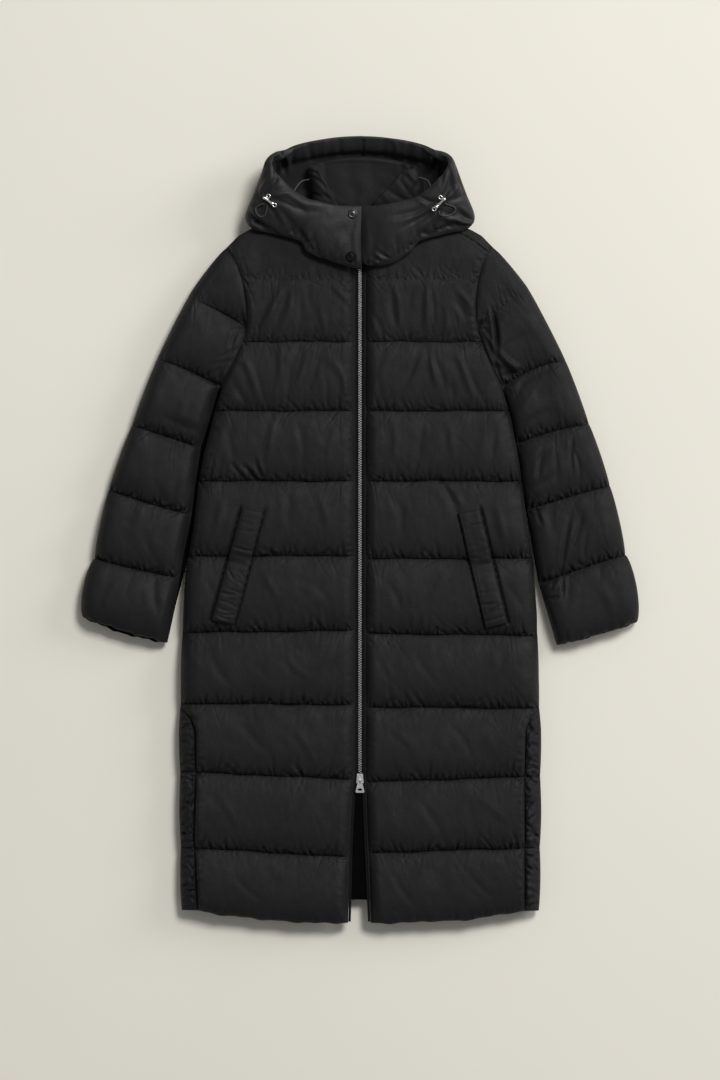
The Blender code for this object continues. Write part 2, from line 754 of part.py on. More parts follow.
def back_place(across, down):
    """Where a point of the back lies: `across` from -1 to 1, `down` in baffles."""
    side = -1 if across < 0 else 1
    reach = abs(across)
    line = min(int(down), len(QUILTING) - 2)
    share = down - line

    def line_y(number):
        return blend(QUILTING[number].back_mid, QUILTING[number].back_side, reach)

    below = line_y(line + 1)
    if line > 0:
        y = blend(line_y(line), below, share)
        return side * reach * body_edge(side, y), y
    top = (read_table(BACK_TOP, "across", "x", reach), read_table(BACK_TOP, "across", "y", reach))
    bottom = (reach * body_edge(side, below), below)
    x, y = blend_point(top, bottom, share)
    edge_y = blend(BACK_TOP[-1].y, QUILTING[1].back_side, share)
    edge_x = blend(BACK_TOP[-1].x, body_edge(side, QUILTING[1].back_side), share)
    return side * (x + (body_edge(side, edge_y) - edge_x) * reach ** 2), y


def pressed(share, full):
    """Depth of an under layer's baffle, pressed flat where it meets the ground."""
    return min(puffed(share, LOWER_PLANE * UNDER_SWELL * full), LOWER_PLANE)


def make_back():
    rows = baffle_rows(BACK_STEPS, len(QUILTING) - 1)
    columns = [-across for across in reversed(BACK_COLUMNS[1:])] + list(BACK_COLUMNS)
    grid = []
    for down in rows:
        line = min(int(down), len(QUILTING) - 2)
        row = []
        for across in columns:
            x, y = back_place(across, down)
            edge = back_place(math.copysign(1.0, across), down)[0]
            side_width = ARM_ROUND if y > UNDERARM_Y else SIDE_ROUND
            taper = rounding(abs(edge) - abs(x), side_width)
            depth = blend(EDGE_HEIGHT, pressed(down - line, 1.0), taper)
            row.append((x, y, LOWER_PLANE - depth))
        grid.append(row)
    neck_rows = list(range(len(BACK_STEPS) + 1))
    hem_rows = list(range(len(rows) - 1 - len(BACK_STEPS), len(rows)))
    item = make_panel("back_panel", grid, LOWER_PLANE, neck_rows + hem_rows)
    edges = {-1: [(abs(row[0][0]), row[0][1]) for row in grid],
             1: [(abs(row[-1][0]), row[-1][1]) for row in grid]}
    return item, edges


def edge_width(edge_points, y):
    """Half width at a height on the edge of a panel, straight between its points."""
    edge = table("y x", *[(point[1], point[0]) for point in edge_points])
    return read_table(edge, "y", "x", y)


def make_side_strip(side, front_points):
    """The strip that fills the side between a front's lower edge and the back's edge."""
    low_lines = range(7, len(QUILTING) - 1)
    rows = [line + step for line in low_lines for step in BAFFLE_STEPS]
    rows = [7.035] + rows[1:] + [float(len(QUILTING) - 1)]
    grid = []
    for i, down in enumerate(rows):
        line = min(int(down), len(QUILTING) - 2)
        y = blend(quilting_y(side, line, 1.0), quilting_y(side, line + 1, 1.0), down - line)
        inner = edge_width(front_points, y) + SEAM_GAP + 0.1
        outer = body_edge(side, y)
        row = []
        for j, across in enumerate(STRIP_COLUMNS):
            x = blend(inner, outer, across)
            taper = (rounding(x - inner, 9.0) * rounding(outer - x, 16.0))
            taper *= min(1.0, (outer - inner) / 20.0)
            height = puffed(down - line, STRIP_PUFF) + 0.6 * pucker(i, j, down - line)
            row.append((side * x, y, UPPER_PLANE + blend(EDGE_HEIGHT, height, taper)))
        grid.append(row)
    return make_panel("side_strip_" + side_name(side), grid, UPPER_PLANE)


# ---------------------------------------------------------------- sleeves
def sleeve_creases(side, along, across):
    depth = 0.0
    for crease in SLEEVE_CREASES:
        if crease.side != side:
            continue
        off = along - crease.along - crease.run * (across - crease.across)
        reach = (across - crease.across) / crease.reach
        depth += crease.depth * math.exp(-(off / crease.width) ** 2) * math.exp(-reach ** 2)
    return depth


def sleeve_place(side, lines, neighbour, across, along, drop):
    """Where a point of a sleeve lies: `across` from outer to inner fold."""
    line = min(int(along), len(lines) - 2)
    share = along - line
    start, end = lines[line], lines[line + 1]
    swell = 4.0 * share * (1.0 - share)
    outer_x = blend(start.outer_x, end.outer_x, share) + start.bulge * swell ** 0.6
    outer_y = blend(start.outer_y, end.outer_y, share)
    inner_y = blend(start.inner_y, end.inner_y, share)
    inner_x = blend(start.inner_x, end.inner_x, share)
    body = edge_width(neighbour, inner_y)
    if along <= 2.0:
        inner_x = body + SEAM_GAP + 0.1
    else:
        opening = min((along - 2.0) / 0.07, 1.0)
        inner_x = max(inner_x, body + blend(SEAM_GAP + 0.1, SIDE_CLEARANCE, opening))
    x = blend(outer_x, inner_x, across)
    y = blend(outer_y, inner_y, across)
    y += blend(start.bow, end.bow, share) * 4.0 * across * (1.0 - across)
    y -= drop * max(0.0, along - len(lines) + 2) ** 3 * 4.0 * across * (1.0 - across)
    return x, y


def make_sleeve(side, lines, neighbour, upper):
    """One half of a sleeve: the upper one puffs up, the under one is pressed flat."""
    rows = baffle_rows(BAFFLE_STEPS if upper else BACK_STEPS, len(lines) - 1)
    grid = []
    for i, along in enumerate(rows):
        line = min(int(along), len(lines) - 2)
        share = along - line
        drop = 0.0 if upper or side > 0 else CUFF_DROP
        ends = [sleeve_place(side, lines, neighbour, end, along, drop) for end in (0.0, 1.0)]
        width = math.dist(*ends)
        row = []
        for j, across in enumerate(SLEEVE_COLUMNS):
            x, y = sleeve_place(side, lines, neighbour, across, along, drop)
            inner_round = ARM_ROUND if along < 2.0 else SLEEVE_ROUND
            taper = rounding(across * width, SLEEVE_ROUND)
            taper *= rounding((1.0 - across) * width, inner_round)
            if upper:
                height = puffed(share, SLEEVE_PUFF * lines[line].full)
                height += pucker(i + 3, j, share) - sleeve_creases(side, along, across)
                z = UPPER_PLANE + blend(EDGE_HEIGHT, max(height, STITCH_HEIGHT - 1.0), taper)
            else:
                z = LOWER_PLANE - blend(EDGE_HEIGHT, pressed(share, lines[line].full), taper)
            row.append((side * x, y, z))
        grid.append(row)
    name = "sleeve_{}_{}".format(side_name(side), "upper" if upper else "under")
    plane = UPPER_PLANE if upper else LOWER_PLANE
    return make_panel(name, grid, plane)


# ---------------------------------------------------------------- hood and collar
def hood_section(row):
    """A section's points with its thickness as a fourth number."""
    return [(*point, row.thick) for point in (row.neck, row.outward, row.side, row.inward, row.face)]


def make_hood_half(side, chin):
    """Half the hood, from the chin band's end round the side to the crown."""
    crown_type = type(HOOD_SECTIONS[0])
    crown = crown_type(*[(SEAM_GAP / 2, y, z) for _, y, z in CROWN[:-1]], CROWN[-1])
    sections = [hood_section(row) for row in chin + HOOD_SECTIONS + [crown]]
    lines = [smooth_row(section, SECTION_STEPS) for section in sections]
    columns = [smooth_row(list(column), STATION_STEPS) for column in zip(*lines)]
    middle = [list(row) for row in zip(*columns)]
    last_row, last_column = len(middle) - 1, len(middle[0]) - 1

    def thickness(i, j):
        from_edge = min(j, last_column - j) / (last_column / 2)
        bulge = blend(WALL_EDGE_SHARE, 1.0, rounding(from_edge, 1.0))
        return HOOD_THICKNESS * middle[i][j][3] * bulge

    points = [[(side * x, y, z) for x, y, z, _ in row] for row in middle]
    return make_wall("hood_" + side_name(side), points, thickness, upright_end=True)


def collar_ring(ring, neck):
    """Points round one ring of the collar, from its left front edge to its right one."""
    radius = (ring.z_high - ring.z_low) / 2
    middle_z = (ring.z_high + ring.z_low) / 2
    points = []

    def front_y(x):
        if neck:
            return read_table(FRONT_TOP, "x", "y", abs(x)) + NECK_GAP
        return blend(ring.y_front, ring.y_outer, rounding(abs(x), ring.right) ** 2)

    for side, edge, half in ((-1, ring.left_edge, ring.left), (1, ring.right_edge, ring.right)):
        turn_x = half - radius
        arm = []
        for share in (0.0, 0.5):
            x = blend(edge, turn_x, share)
            arm.append((side * x, front_y(x), ring.z_high))
        for step in range(COLLAR_TURN_STEPS + 1):
            angle = math.pi * (0.5 - step / COLLAR_TURN_STEPS)
            x = turn_x + radius * math.cos(angle)
            share = min(1.0, 2 * step / (COLLAR_TURN_STEPS + 1)) if neck else step / COLLAR_TURN_STEPS
            y_end = ring.y_outer if neck else blend(ring.y_outer, ring.y_back, 0.5)
            y = blend(front_y(turn_x), y_end, share)
            arm.append((side * x, y, middle_z + radius * math.sin(angle)))
        points.append(arm)
    left, right = points
    bottom_left, bottom_right = left[-1], right[-1]
    bottom = []
    for share in (0.2, 0.4, 0.6, 0.8):
        x, y, z = blend_point(bottom_left, bottom_right, share)
        bottom.append((x, blend(y, ring.y_back, 4 * share * (1 - share)), z))
    return left + bottom + right[::-1]


def make_collar():
    rings = [collar_ring(ring, number == 0) for number, ring in enumerate(COLLAR_RINGS)]
    columns = [smooth_row(list(column), COLLAR_STEPS) for column in zip(*rings)]
    middle = [list(row) for row in zip(*columns)]
    last_row, last_column = len(middle) - 1, len(middle[0]) - 1

    def thickness(i, j):
        up = rounding(min(i, last_row - i) / 2, 1.0)
        in_from_edge = rounding(min(j, last_column - j) / 2, 1.0)
        return COLLAR_THICKNESS * blend(WALL_EDGE_SHARE, 1.0, min(up, in_from_edge))

    return make_wall("collar", middle, thickness)


# ---------------------------------------------------------------- pockets
def make_welt(side, corners, ground):
    """A folded strip on a front, its underside following the front's surface."""
    outer_top, inner_top, inner_low, outer_low = [(row.x, row.y) for row in corners]
    points = {}
    lower, upper = [], []
    for i in range(WELT_ALONG + 1):
        down = i / WELT_ALONG
        start = blend_point(outer_top, outer_low, down)
        end = blend_point(inner_top, inner_low, down)
        for j in range(WELT_ACROSS + 1):
            across = j / WELT_ACROSS
            x, y = blend_point(start, end, across)
            seat = ground.height_round(side * x, y, 7.0) + SEAM_GAP
            crown = 1.0 if 0 < j < WELT_ACROSS else 0.7
            crown += 0.12 * uneven(i, j)
            lower.append((side * x, y, seat))
            upper.append((side * x, y, seat + WELT_THICKNESS * crown))
    width = WELT_ACROSS + 1
    shift = len(lower)
    faces = []
    for i in range(WELT_ALONG):
        for j in range(WELT_ACROSS):
            corner = (i * width + j, i * width + j + 1, (i + 1) * width + j + 1, (i + 1) * width + j)
            faces.append(corner)
            faces.append(tuple(index + shift for index in reversed(corner)))
    rim = [j for j in range(width)]
    rim += [i * width + WELT_ACROSS for i in range(1, WELT_ALONG + 1)]
    rim += [WELT_ALONG * width + j for j in range(WELT_ACROSS - 1, -1, -1)]
    rim += [i * width for i in range(WELT_ALONG - 1, 0, -1)]
    for start, end in zip(rim, rim[1:] + rim[:1]):
        faces.append((start, end, end + shift, start + shift))
    return make_object("pocket_welt_" + side_name(side), lower + upper, faces, SHELL)


# ---------------------------------------------------------------- zip
def make_tape(side, front_points):
    """The strip of tape between a front's edge and the chain, on to the hem."""
    vent_points = [point for point in front_points if point[1] < SLIDER_TOP_Y + SLIDER_LENGTH]
    edge = [(front_points[0][0], CHAIN_TOP_Y)] + vent_points
    outline = [(side * (x - SEAM_GAP), y) for x, y in edge]
    outline += [(side * (x - SEAM_GAP - TAPE_WIDTH), y) for x, y in reversed(edge)]
    return make_prism("zip_tape_" + side_name(side), outline, TAPE_BOTTOM,
                      TAPE_BOTTOM + TAPE_THICKNESS, TAPE)


def make_chain():
    """The closed chain, a ridged bar that shows between the two tapes."""
    half = CHAIN_WIDTH / 2
    low, high = CHAIN_BASE, CHAIN_BASE + CHAIN_HEIGHT
    profile = ((-half, low + 0.7), (-half + 0.6, low), (half - 0.6, low), (half, low + 0.7),
               (half, high - 0.9), (half - 0.9, high), (-half + 0.9, high), (-half, high - 0.9))
    return make_lengthwise("zip_chain", profile, CHAIN_TOP_Y, SLIDER_TOP_Y + SEAM_GAP,
                           ZIP_METAL)


def bail_arch():
    """The bail's side view in (y, z): an arch that stands on the slider's upper plate."""
    foot = PLATE_TOP - BAIL_SEAT
    arch = [(BAIL_Y - BAIL_OUTER, foot)]
    for radius, rise, order in ((BAIL_OUTER, BAIL_RISE + BAIL_OUTER - BAIL_INNER, 1),
                                (BAIL_INNER, BAIL_RISE, -1)):
        turn = [math.pi * step / BAIL_STEPS for step in range(BAIL_STEPS + 1)][::order]
        arch += [(BAIL_Y - radius * math.cos(angle),
                  PLATE_TOP + BAIL_LEG + rise * math.sin(angle)) for angle in turn]
        if order > 0:
            arch += [(BAIL_Y + BAIL_OUTER, foot), (BAIL_Y + BAIL_INNER, foot)]
    return arch + [(BAIL_Y - BAIL_INNER, foot)]


def make_slider():
    """Two plates on a web, with flanges down the sides and a bail on top."""
    half = SLIDER_WIDTH / 2
    plate_low = PLATE_TOP - PLATE_THICKNESS
    under_low, under_top = UPPER_PLANE + 0.1, CHAIN_BASE - SEAM_GAP
    flange = TAPE_BOTTOM + TAPE_THICKNESS + SEAM_GAP
    wall, web, bevel = half - 1.1, 1.1, 0.5
    profile = ((-half, PLATE_TOP - bevel), (-half + bevel, PLATE_TOP),
               (half - bevel, PLATE_TOP), (half, PLATE_TOP - bevel),
               (half, flange), (wall, flange), (wall, plate_low), (web, plate_low),
               (web, under_top), (half, under_top), (half, under_low),
               (-half, under_low), (-half, under_top), (-web, under_top),
               (-web, plate_low), (-wall, plate_low), (-wall, flange), (-half, flange))
    slider = make_lengthwise("zip_slider", profile, SLIDER_TOP_Y, SLIDER_TOP_Y - SLIDER_LENGTH,
                             ZIP_METAL)
    bail = make_bar("bail_form", bail_arch(), (-BAIL_WIDTH / 2, BAIL_WIDTH / 2),
                    lambda y, z, x: (x, y, z), ZIP_METAL)
    combine(slider, bail, "UNION")
    settle(slider)
    bpy.data.objects.remove(bail)
    return slider


def ellipse(x, y, half_x, half_y, count):
    turns = [2 * math.pi * k / count for k in range(count)]
    return [(x + half_x * math.cos(turn), y + half_y * math.sin(turn)) for turn in turns]


def make_pull():
    """The pull tab, hung on the slider's bail, its origin on the hinge's axis."""
    outline = ((-3.6, 0.8), (3.6, 0.8), (4.2, -TAB_NECK), (7.0, -TAB_REACH + 3.5),
               (7.3, -TAB_REACH + 1.5), (6.0, -TAB_REACH), (-6.0, -TAB_REACH),
               (-7.3, -TAB_REACH + 1.5), (-7.0, -TAB_REACH + 3.5), (-4.2, -TAB_NECK))
    half = TAB_THICKNESS / 2
    tab = make_prism("zip_pull", outline, -half, half, ZIP_METAL)
    slot = ((-1.8, -0.8), (1.8, -0.8), (1.8, -TAB_NECK + 0.2), (-1.8, -TAB_NECK + 0.2))
    eye = make_prism("eye_form", slot, -2.0, 2.0, ZIP_METAL)
    hole = make_prism("hole_form", ellipse(0.0, -TAB_REACH + 5.2, 3.9, 2.1, 14), -2.0, 2.0,
                      ZIP_METAL)
    for tool in (eye, hole):
        combine(tab, tool, "DIFFERENCE")
    settle(tab)
    for tool in (eye, hole):
        bpy.data.objects.remove(tool)
    tab.location = (0.0, BAIL_Y * MM, HINGE_Z * MM)
    return tab


# ---------------------------------------------------------------- small metal parts
def make_snap(name, x, y, ground):
    """A snap's ringed cap on the chin band."""
    seat = ground.height_round(x, y, SNAP_RADIUS) + SEAM_GAP
    profile = ((0.0, 0.0), (SNAP_RADIUS, 0.0), (SNAP_RADIUS, 1.1), (SNAP_RADIUS - 0.9, 2.0),
               (SNAP_RADIUS - 2.2, 2.0), (SNAP_RADIUS - 2.9, 1.4), (2.0, 1.7), (0.0, 1.8))
    cap = make_turned(name, profile, 16, GUNMETAL)
    cap.location = (x * MM, y * MM, seat * MM)
    return cap


def make_toggle(row, ground):
    """A rounded metal bar with two small rings, laid on the hood's side."""
    start, end = Vector(row.bar_from), Vector(row.bar_to)
    middle = (start + end) / 2
    reach = (end - start).length / 2
    waist = TOGGLE_RADIUS * 0.72
    shoulder = TOGGLE_RADIUS * 0.75
    profile = ((0.0, -reach), (shoulder, -reach + 0.5), (TOGGLE_RADIUS, -reach + 2.0),
               (TOGGLE_RADIUS, -reach + 5.0), (waist, -reach + 6.0),
               (waist, reach - 6.0), (TOGGLE_RADIUS, reach - 5.0),
               (TOGGLE_RADIUS, reach - 2.0), (shoulder, reach - 0.5), (0.0, reach))
    bar = make_turned("toggle_" + side_name(row.side), profile, 8, NICKEL)
    bar.data.transform(Matrix.Rotation(math.pi / 2, 4, "Y"))
    ring_reach = RING_RADIUS + RING_WIRE - RING_SEAT
    places = (((row.ring_share - 0.5) * 2 * reach, -row.side * (TOGGLE_RADIUS + ring_reach)),
              (reach + ring_reach - RING_WIRE, 0.0))
    rings = []
    for number, (x, y) in enumerate(places):
        ring = make_ring("ring_form_%d" % number, RING_RADIUS, RING_WIRE, NICKEL)
        ring.data.transform(Matrix.Translation((x * MM, y * MM, 0.0)))
        combine(bar, ring, "UNION")
        rings.append(ring)
    settle(bar)
    for ring in rings:
        bpy.data.objects.remove(ring)

    up = ground.facing(middle.x, middle.y, reach)
    ahead = (end - start).to_3d()
    ahead = (ahead - up * ahead.dot(up)).normalized()
    turned = Matrix((ahead, up.cross(ahead), up)).transposed()
    bar.rotation_euler = turned.to_euler()
    height = ground.height_round(middle.x, middle.y, reach) + 2 * reach
    bar.location = (middle.x * MM, middle.y * MM, height * MM)
    drop(bar, ground, Vector((0, 0, -1)))
    return bar


def make_cord(name, route, look):
    """A round cord on a smooth route of points, with closed ends."""
    curve = bpy.data.curves.new(name, "CURVE")
    curve.dimensions = "3D"
    curve.bevel_depth = CORD_RADIUS * MM
    curve.bevel_resolution = 2
    curve.use_fill_caps = True
    spline = curve.splines.new("POLY")
    points = smooth_row(route, LOOP_STEPS)
    spline.points.add(len(points) - 1)
    for target, point in zip(spline.points, points):
        target.co = (*[value * MM for value in point], 1.0)
    curve.materials.append(make_material(name, look))
    item = bpy.data.objects.new(name, curve)
    bpy.context.collection.objects.link(item)
    return item


def make_toggle_cord(side, places, ground):
    """A loop of cord that lies on the hood."""
    route = []
    for x, y in places:
        lift = (CORD_RADIUS + SEAM_GAP) / ground.facing(x, y, CORD_RADIUS).z
        route.append((x, y, ground.height_round(x, y, CORD_RADIUS) + lift))
    return make_cord("toggle_cord_" + side_name(side), route, CORD)


def make_collar_loop(side, route, hood, collar):
    """An elastic loop that stands on the hood's inside and on the collar."""
    ends = []
    for item, place in ((hood, route[0]), (collar, route[-1])):
        foot, away = Ground(item).nearest(place)
        ends.append((tuple(foot + away * LOOP_GAP), tuple(foot + away * LOOP_LEAD)))
    (start, after_start), (end, before_end) = ends
    whole = [start, after_start, *route[1:-1], before_end, end]
    return make_cord("collar_loop_" + side_name(side), whole, ELASTIC)


# ---------------------------------------------------------------- the coat
def clear_scene():
    for item in list(bpy.data.objects):
        bpy.data.objects.remove(item, do_unlink=True)


def make_coat():
    _, back_edges = make_back()
    fronts = {}
    for side, lines in ((-1, LEFT_SLEEVE), (1, RIGHT_SLEEVE)):
        fronts[side], zip_points, side_points = make_front(side)
        make_side_strip(side, side_points)
        make_sleeve(side, lines, side_points, True)
        make_sleeve(side, lines, back_edges[side], False)
        make_tape(side, zip_points)
    make_welt(-1, LEFT_WELT, Ground(fronts[-1]))
    make_welt(1, RIGHT_WELT, Ground(fronts[1]))

    hood_left = make_hood_half(-1, LEFT_CHIN)
    hood_right = make_hood_half(1, RIGHT_CHIN)
    collar = make_collar()

    make_chain()
    make_slider()
    make_pull()

    for place in SNAP_PLACES:
        make_snap(place.name, place.x, place.y, Ground(hood_left))
    hood = Ground(hood_left, hood_right)
    for toggle in TOGGLES:
        make_toggle(toggle, hood)
    for loop in COLLAR_LOOPS:
        hood_half = hood_left if loop.side < 0 else hood_right
        make_collar_loop(loop.side, loop.route, hood_half, collar)
    make_toggle_cord(-1, LEFT_LOOP, hood)
    make_toggle_cord(1, RIGHT_LOOP, hood)


clear_scene()
make_coat()
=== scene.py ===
"""The looks of a long hooded puffer coat that lies flat on its back.

The frame: +X runs across the coat to the side that lies on the right, +Y runs
from the hem to the hood, +Z is up. Tables and sizes below are in millimetres,
and the functions that make objects turn them into metres.

Each padded panel is a fine grid over the same outline as its solid. Its height
is the baffle's crown plus a relief map, into which the folds and the gathers
beside each row of stitches are drawn stroke by stroke.
"""

import math
from collections import namedtuple

import bmesh
import bpy
import numpy as np
from mathutils import Matrix, Vector
from mathutils.bvhtree import BVHTree


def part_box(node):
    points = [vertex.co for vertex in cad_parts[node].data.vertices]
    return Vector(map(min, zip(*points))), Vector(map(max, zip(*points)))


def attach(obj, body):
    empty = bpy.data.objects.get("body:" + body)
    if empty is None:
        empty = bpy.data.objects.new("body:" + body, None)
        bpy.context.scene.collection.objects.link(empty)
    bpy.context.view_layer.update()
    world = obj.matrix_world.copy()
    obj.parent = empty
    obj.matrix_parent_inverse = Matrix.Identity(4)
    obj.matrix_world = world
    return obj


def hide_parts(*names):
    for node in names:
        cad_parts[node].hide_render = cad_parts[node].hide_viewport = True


MM = 0.001
SIDES = (-1, 1)         # left and right
DOWN = Vector((0, 0, -1))

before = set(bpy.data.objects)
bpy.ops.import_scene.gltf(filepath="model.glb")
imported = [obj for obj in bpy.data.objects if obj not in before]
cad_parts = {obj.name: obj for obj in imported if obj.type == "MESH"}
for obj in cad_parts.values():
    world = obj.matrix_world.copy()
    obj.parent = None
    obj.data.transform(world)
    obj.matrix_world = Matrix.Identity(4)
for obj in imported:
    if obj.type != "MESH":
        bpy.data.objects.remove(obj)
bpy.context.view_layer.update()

# ---------------------------------------------------------------- sizes
LOWER_PLANE = 25.7      # plain inside of the back and of the under sleeves
UPPER_PLANE = 26.0      # plain inside of the fronts and of the upper sleeves
SEAM_GAP = 0.3          # what small parts keep off the cloth under them
PANEL_GAP = 0.06        # and what panels sewn together keep between them
NECK_GAP = 0.5          # between the fronts' top and the collar

BODY_PUFF = 25.0
SLEEVE_PUFF = 23.0
STRIP_PUFF = 17.0
UNDER_SWELL = 1.45      # how far the layer below would swell, in shares of its plane's height
STITCH_HEIGHT = 7.0     # what is left of the puff on a quilting line
SLEEVE_STITCH_HEIGHT = 4.5
EDGE_HEIGHT = 4.5       # and at a panel's sewn or folded edge
ARM_EDGE_HEIGHT = 13.0  # but the armhole's seam lies higher
LEAST_HEIGHT = 3.0      # no fold goes deeper than this over the inside
EDGE_RELIEF = 0.25      # what share of the relief is left at a front's edges
SLEEVE_EDGE_RELIEF = 0.3    # and at a sleeve's
RISE_POWER = 2.6        # the more, the sooner a baffle is full below its upper line
FALL_POWER = 5.5        # and the later it falls off toward its lower one
SLEEVE_FALL_POWER = 4.2
FIRST_SCALLOP = 6       # the first baffle below the cuffs
SCALLOP = 2.2
HEM_SAG = 7.0           # how much lower the middle of a front's hem is

ZIP_MARGIN = 3.2        # flat stitched margin beside the zip
ZIP_ROUND = 17.0        # over what width each edge is rounded off
SIDE_ROUND = 16.0
SLEEVE_SIDE_ROUND = 8.5  # where a sleeve lies beside the body, up from this height
SLEEVE_SIDE_Y = -100
ARM_ROUND = 10.0
STRIP_ROUND = 7.0       # beside the seam of a side strip
STRIP_FOLD_ROUND = 13.0
OUTER_ROUND = 18.0      # a sleeve's outer fold, and its inner one
INNER_ROUND = {-1: 17.0, 1: 11.0}
DROOP = 10.0            # how far the folded sides hang below the middle plane
DROOP_WIDTH = 30.0

UNDERARM_Y = 243
STRIP_TOP_Y = -299
STRIP_FIRST = 7         # the baffle that a side strip starts in
STRIP_START = 0.035     # and how far down it
STRIP_FULL_WIDTH = 20.0  # where a strip is narrower, it puffs up less
SIDE_CLEARANCE = {-1: 4.8, 1: 1.0}      # between a free upper sleeve's inner fold and the body
CUFF_CLEARANCE = 1.0                    # and at its cuff
UNDER_CLEARANCE = 0.15
SLEEVE_SHIFT = 2.6      # how much nearer the body the inner folds are than their table says
UNDER_SHIFT = {-1: 7.0, 1: 3.2}
CUFF_DROP = 4.5         # how far the left cuff's under half shows below its upper one

HOOD_THICKNESS = 16.0
COLLAR_THICKNESS = 11.0
WALL_EDGE_SHARE = 0.5   # how thick a padded wall is at its edges
WALL_SEAM_SHARE = 0.07  # over what share of its height its relief grows from the seam up
WALL_FACING = 2.2       # the more, the sooner a side counts as facing up or down
COLLAR_TURN_STEPS = 5   # points round each side fold of the collar

STITCH_LENGTH = 2.4
STITCH_PITCH = 3.1
THREAD_WIDTH = 0.28
STITCH_LEAST_Z = 8.0    # no stitch is lower, off the cloth
STITCHES_IN = 4.0       # how far before a front's edges its rows of stitches end
ZIP_STITCHES_IN = 2.0
ZIP_STITCHES_Y = (460.0, -640.0)

FRONT_ROWS, FRONT_COLUMNS = 50, 144         # rows to a baffle, columns across
BACK_ROWS, BACK_COLUMNS = 30, 141
SLEEVE_ROWS, SLEEVE_COLUMNS = 46, 92
UNDER_ROWS, UNDER_COLUMNS = 22, 60
WELT_ROWS, WELT_COLUMNS = 120, 26
STRIP_ROWS, STRIP_COLUMNS = 56, 47
HOOD_STEPS, HOOD_SECTION_STEPS = 22, 18     # points to a stretch of the wall
COLLAR_STEPS, COLLAR_RING_STEPS = 14, 8


class Table:
    """A short table whose columns are read between its rows."""

    def __init__(self, columns, *rows):
        self.names = columns.split()
        self.size = len(rows)
        for number, name in enumerate(self.names):
            setattr(self, name, np.array([row[number] for row in rows], float))

    def at(self, key, column, value, round_off=0.0):
        """Value of a column where the key column has a value, its corners rounded off."""
        keys, values = getattr(self, key), getattr(self, column)
        order = np.argsort(keys)
        parts = [np.interp(value + share * round_off, keys[order], values[order])
                 for share in (-1.0, -0.5, 0.0, 0.5, 1.0)]
        return sum(parts) / len(parts)


def rows_of(columns, *rows):
    """A short table that is gone through row by row."""
    row = namedtuple("Row", columns)
    return [row(*values) for values in rows]


def folds_of(*rows):
    return rows_of("x y turn length width depth", *rows)


# Quilting lines from the neck down, at the zip and at the side seam.
QUILTING = Table(
    "left_zip left_side right_zip right_side back_mid back_side full stitched",
    (466, 477, 466, 477, 512, 477, 0.70, 8),
    (420, 420, 420, 420, 420, 420, 0.92, 17),
    (316, 316, 316, 316, 316, 316, 1.00, 13),
    (200, 200, 200, 200, 200, 200, 1.00, 11),
    (82, 82, 82, 82, 82, 82, 1.00, 9),
    (-44, -44, -49, -48, -46, -46, 1.00, 8),
    (-169, -173, -174, -178, -172, -172, 1.00, 7),
    (-294, -292, -298, -300, -296, -296, 1.00, 7),
    (-420, -407, -424, -415, -412, -412, 1.00, 7),
    (-550, -535, -543, -535, -536, -536, 0.96, 7),
    (-661, -640, -661, -641, -622, -636, 0.96, 7),
)
LAST_BAFFLE = QUILTING.size - 2
QUILTED = range(1, LAST_BAFFLE + 1)
GATHERED = (0.0, 0.22, 0.5, 0.65, 0.9, 1.0, 1.0, 1.0, 1.0, 1.0)     # at each line

BODY_EDGE = Table(
    "y left right",
    (477, 222, 222), (446, 207, 206), (415, 196, 198), (375, 190, 194),
    (338, 190, 197), (300, 203, 211), (268, 218, 225), (243, 232, 238),
    (191, 247, 254), (121, 265, 267), (75, 273, 274), (11, 280, 281),
    (-49, 290, 291), (-86, 295, 294), (-142, 298, 298), (-250, 300, 299),
    (-333, 303, 303), (-493, 302, 303), (-640, 300, 301),
)
STRIP_SEAM = Table(
    "y left right",
    (-299, 302, 302), (-318, 284, 286), (-338, 277, 279), (-402, 276, 277),
    (-520, 279, 277), (-640, 273, 277),
)
ZIP_EDGE = Table(
    "y left right",
    (470, 7.8, 7.8), (-412, 7.8, 7.8), (-444, 12.5, 8.6), (-530, 17.0, 12.0),
    (-661, 20.0, 18.0),
)
FRONT_TOP = Table(
    "across x y",
    (0.00, 7.8, 466), (0.18, 40, 471), (0.34, 76, 488), (0.45, 95, 508),
    (0.52, 105, 526), (0.70, 150, 517), (0.84, 186, 505), (0.92, 206, 494),
    (1.00, 222, 477),
)
BACK_TOP = Table(
    "across x y",
    (0.00, 0, 512), (0.30, 62, 514), (0.45, 95, 520), (0.50, 105, 526),
    (0.70, 150, 517), (0.84, 186, 505), (0.92, 206, 494), (1.00, 222, 477),
)

# Sleeves: quilting lines from the outer fold to the armhole or the inner fold.
LEFT_SLEEVE = Table(
    "outer_x outer_y inner_x inner_y bow bulge full",
    (230, 469, 222, 477, 0, 4, 0.80),
    (289, 391, 191, 341, 3, 2, 1.00),
    (341, 287, 234, 240, 4, 2, 1.00),
    (383, 176, 266, 138, 0, 3, 1.00),
    (422, 67, 281, 25, -2, 4, 1.00),
    (446, -48, 303, -81, -2, 11, 1.00),
    (465, -148, 327, -190, -2, 0, 1.00),
)
RIGHT_SLEEVE = Table(
    "outer_x outer_y inner_x inner_y bow bulge full",
    (230, 469, 222, 477, 0, 3, 0.80),
    (284, 404, 196, 343, 3, 2, 1.00),
    (346, 284, 240, 240, 9, 2, 1.00),
    (385, 178, 264, 145, 4, 3, 1.00),
    (420, 74, 283, 33, 2, 4, 1.00),
    (446, -42, 304, -91, 2, 11, 1.00),
    (465, -156, 334, -194, -2, 0, 1.00),
)
SLEEVES = {-1: LEFT_SLEEVE, 1: RIGHT_SLEEVE}
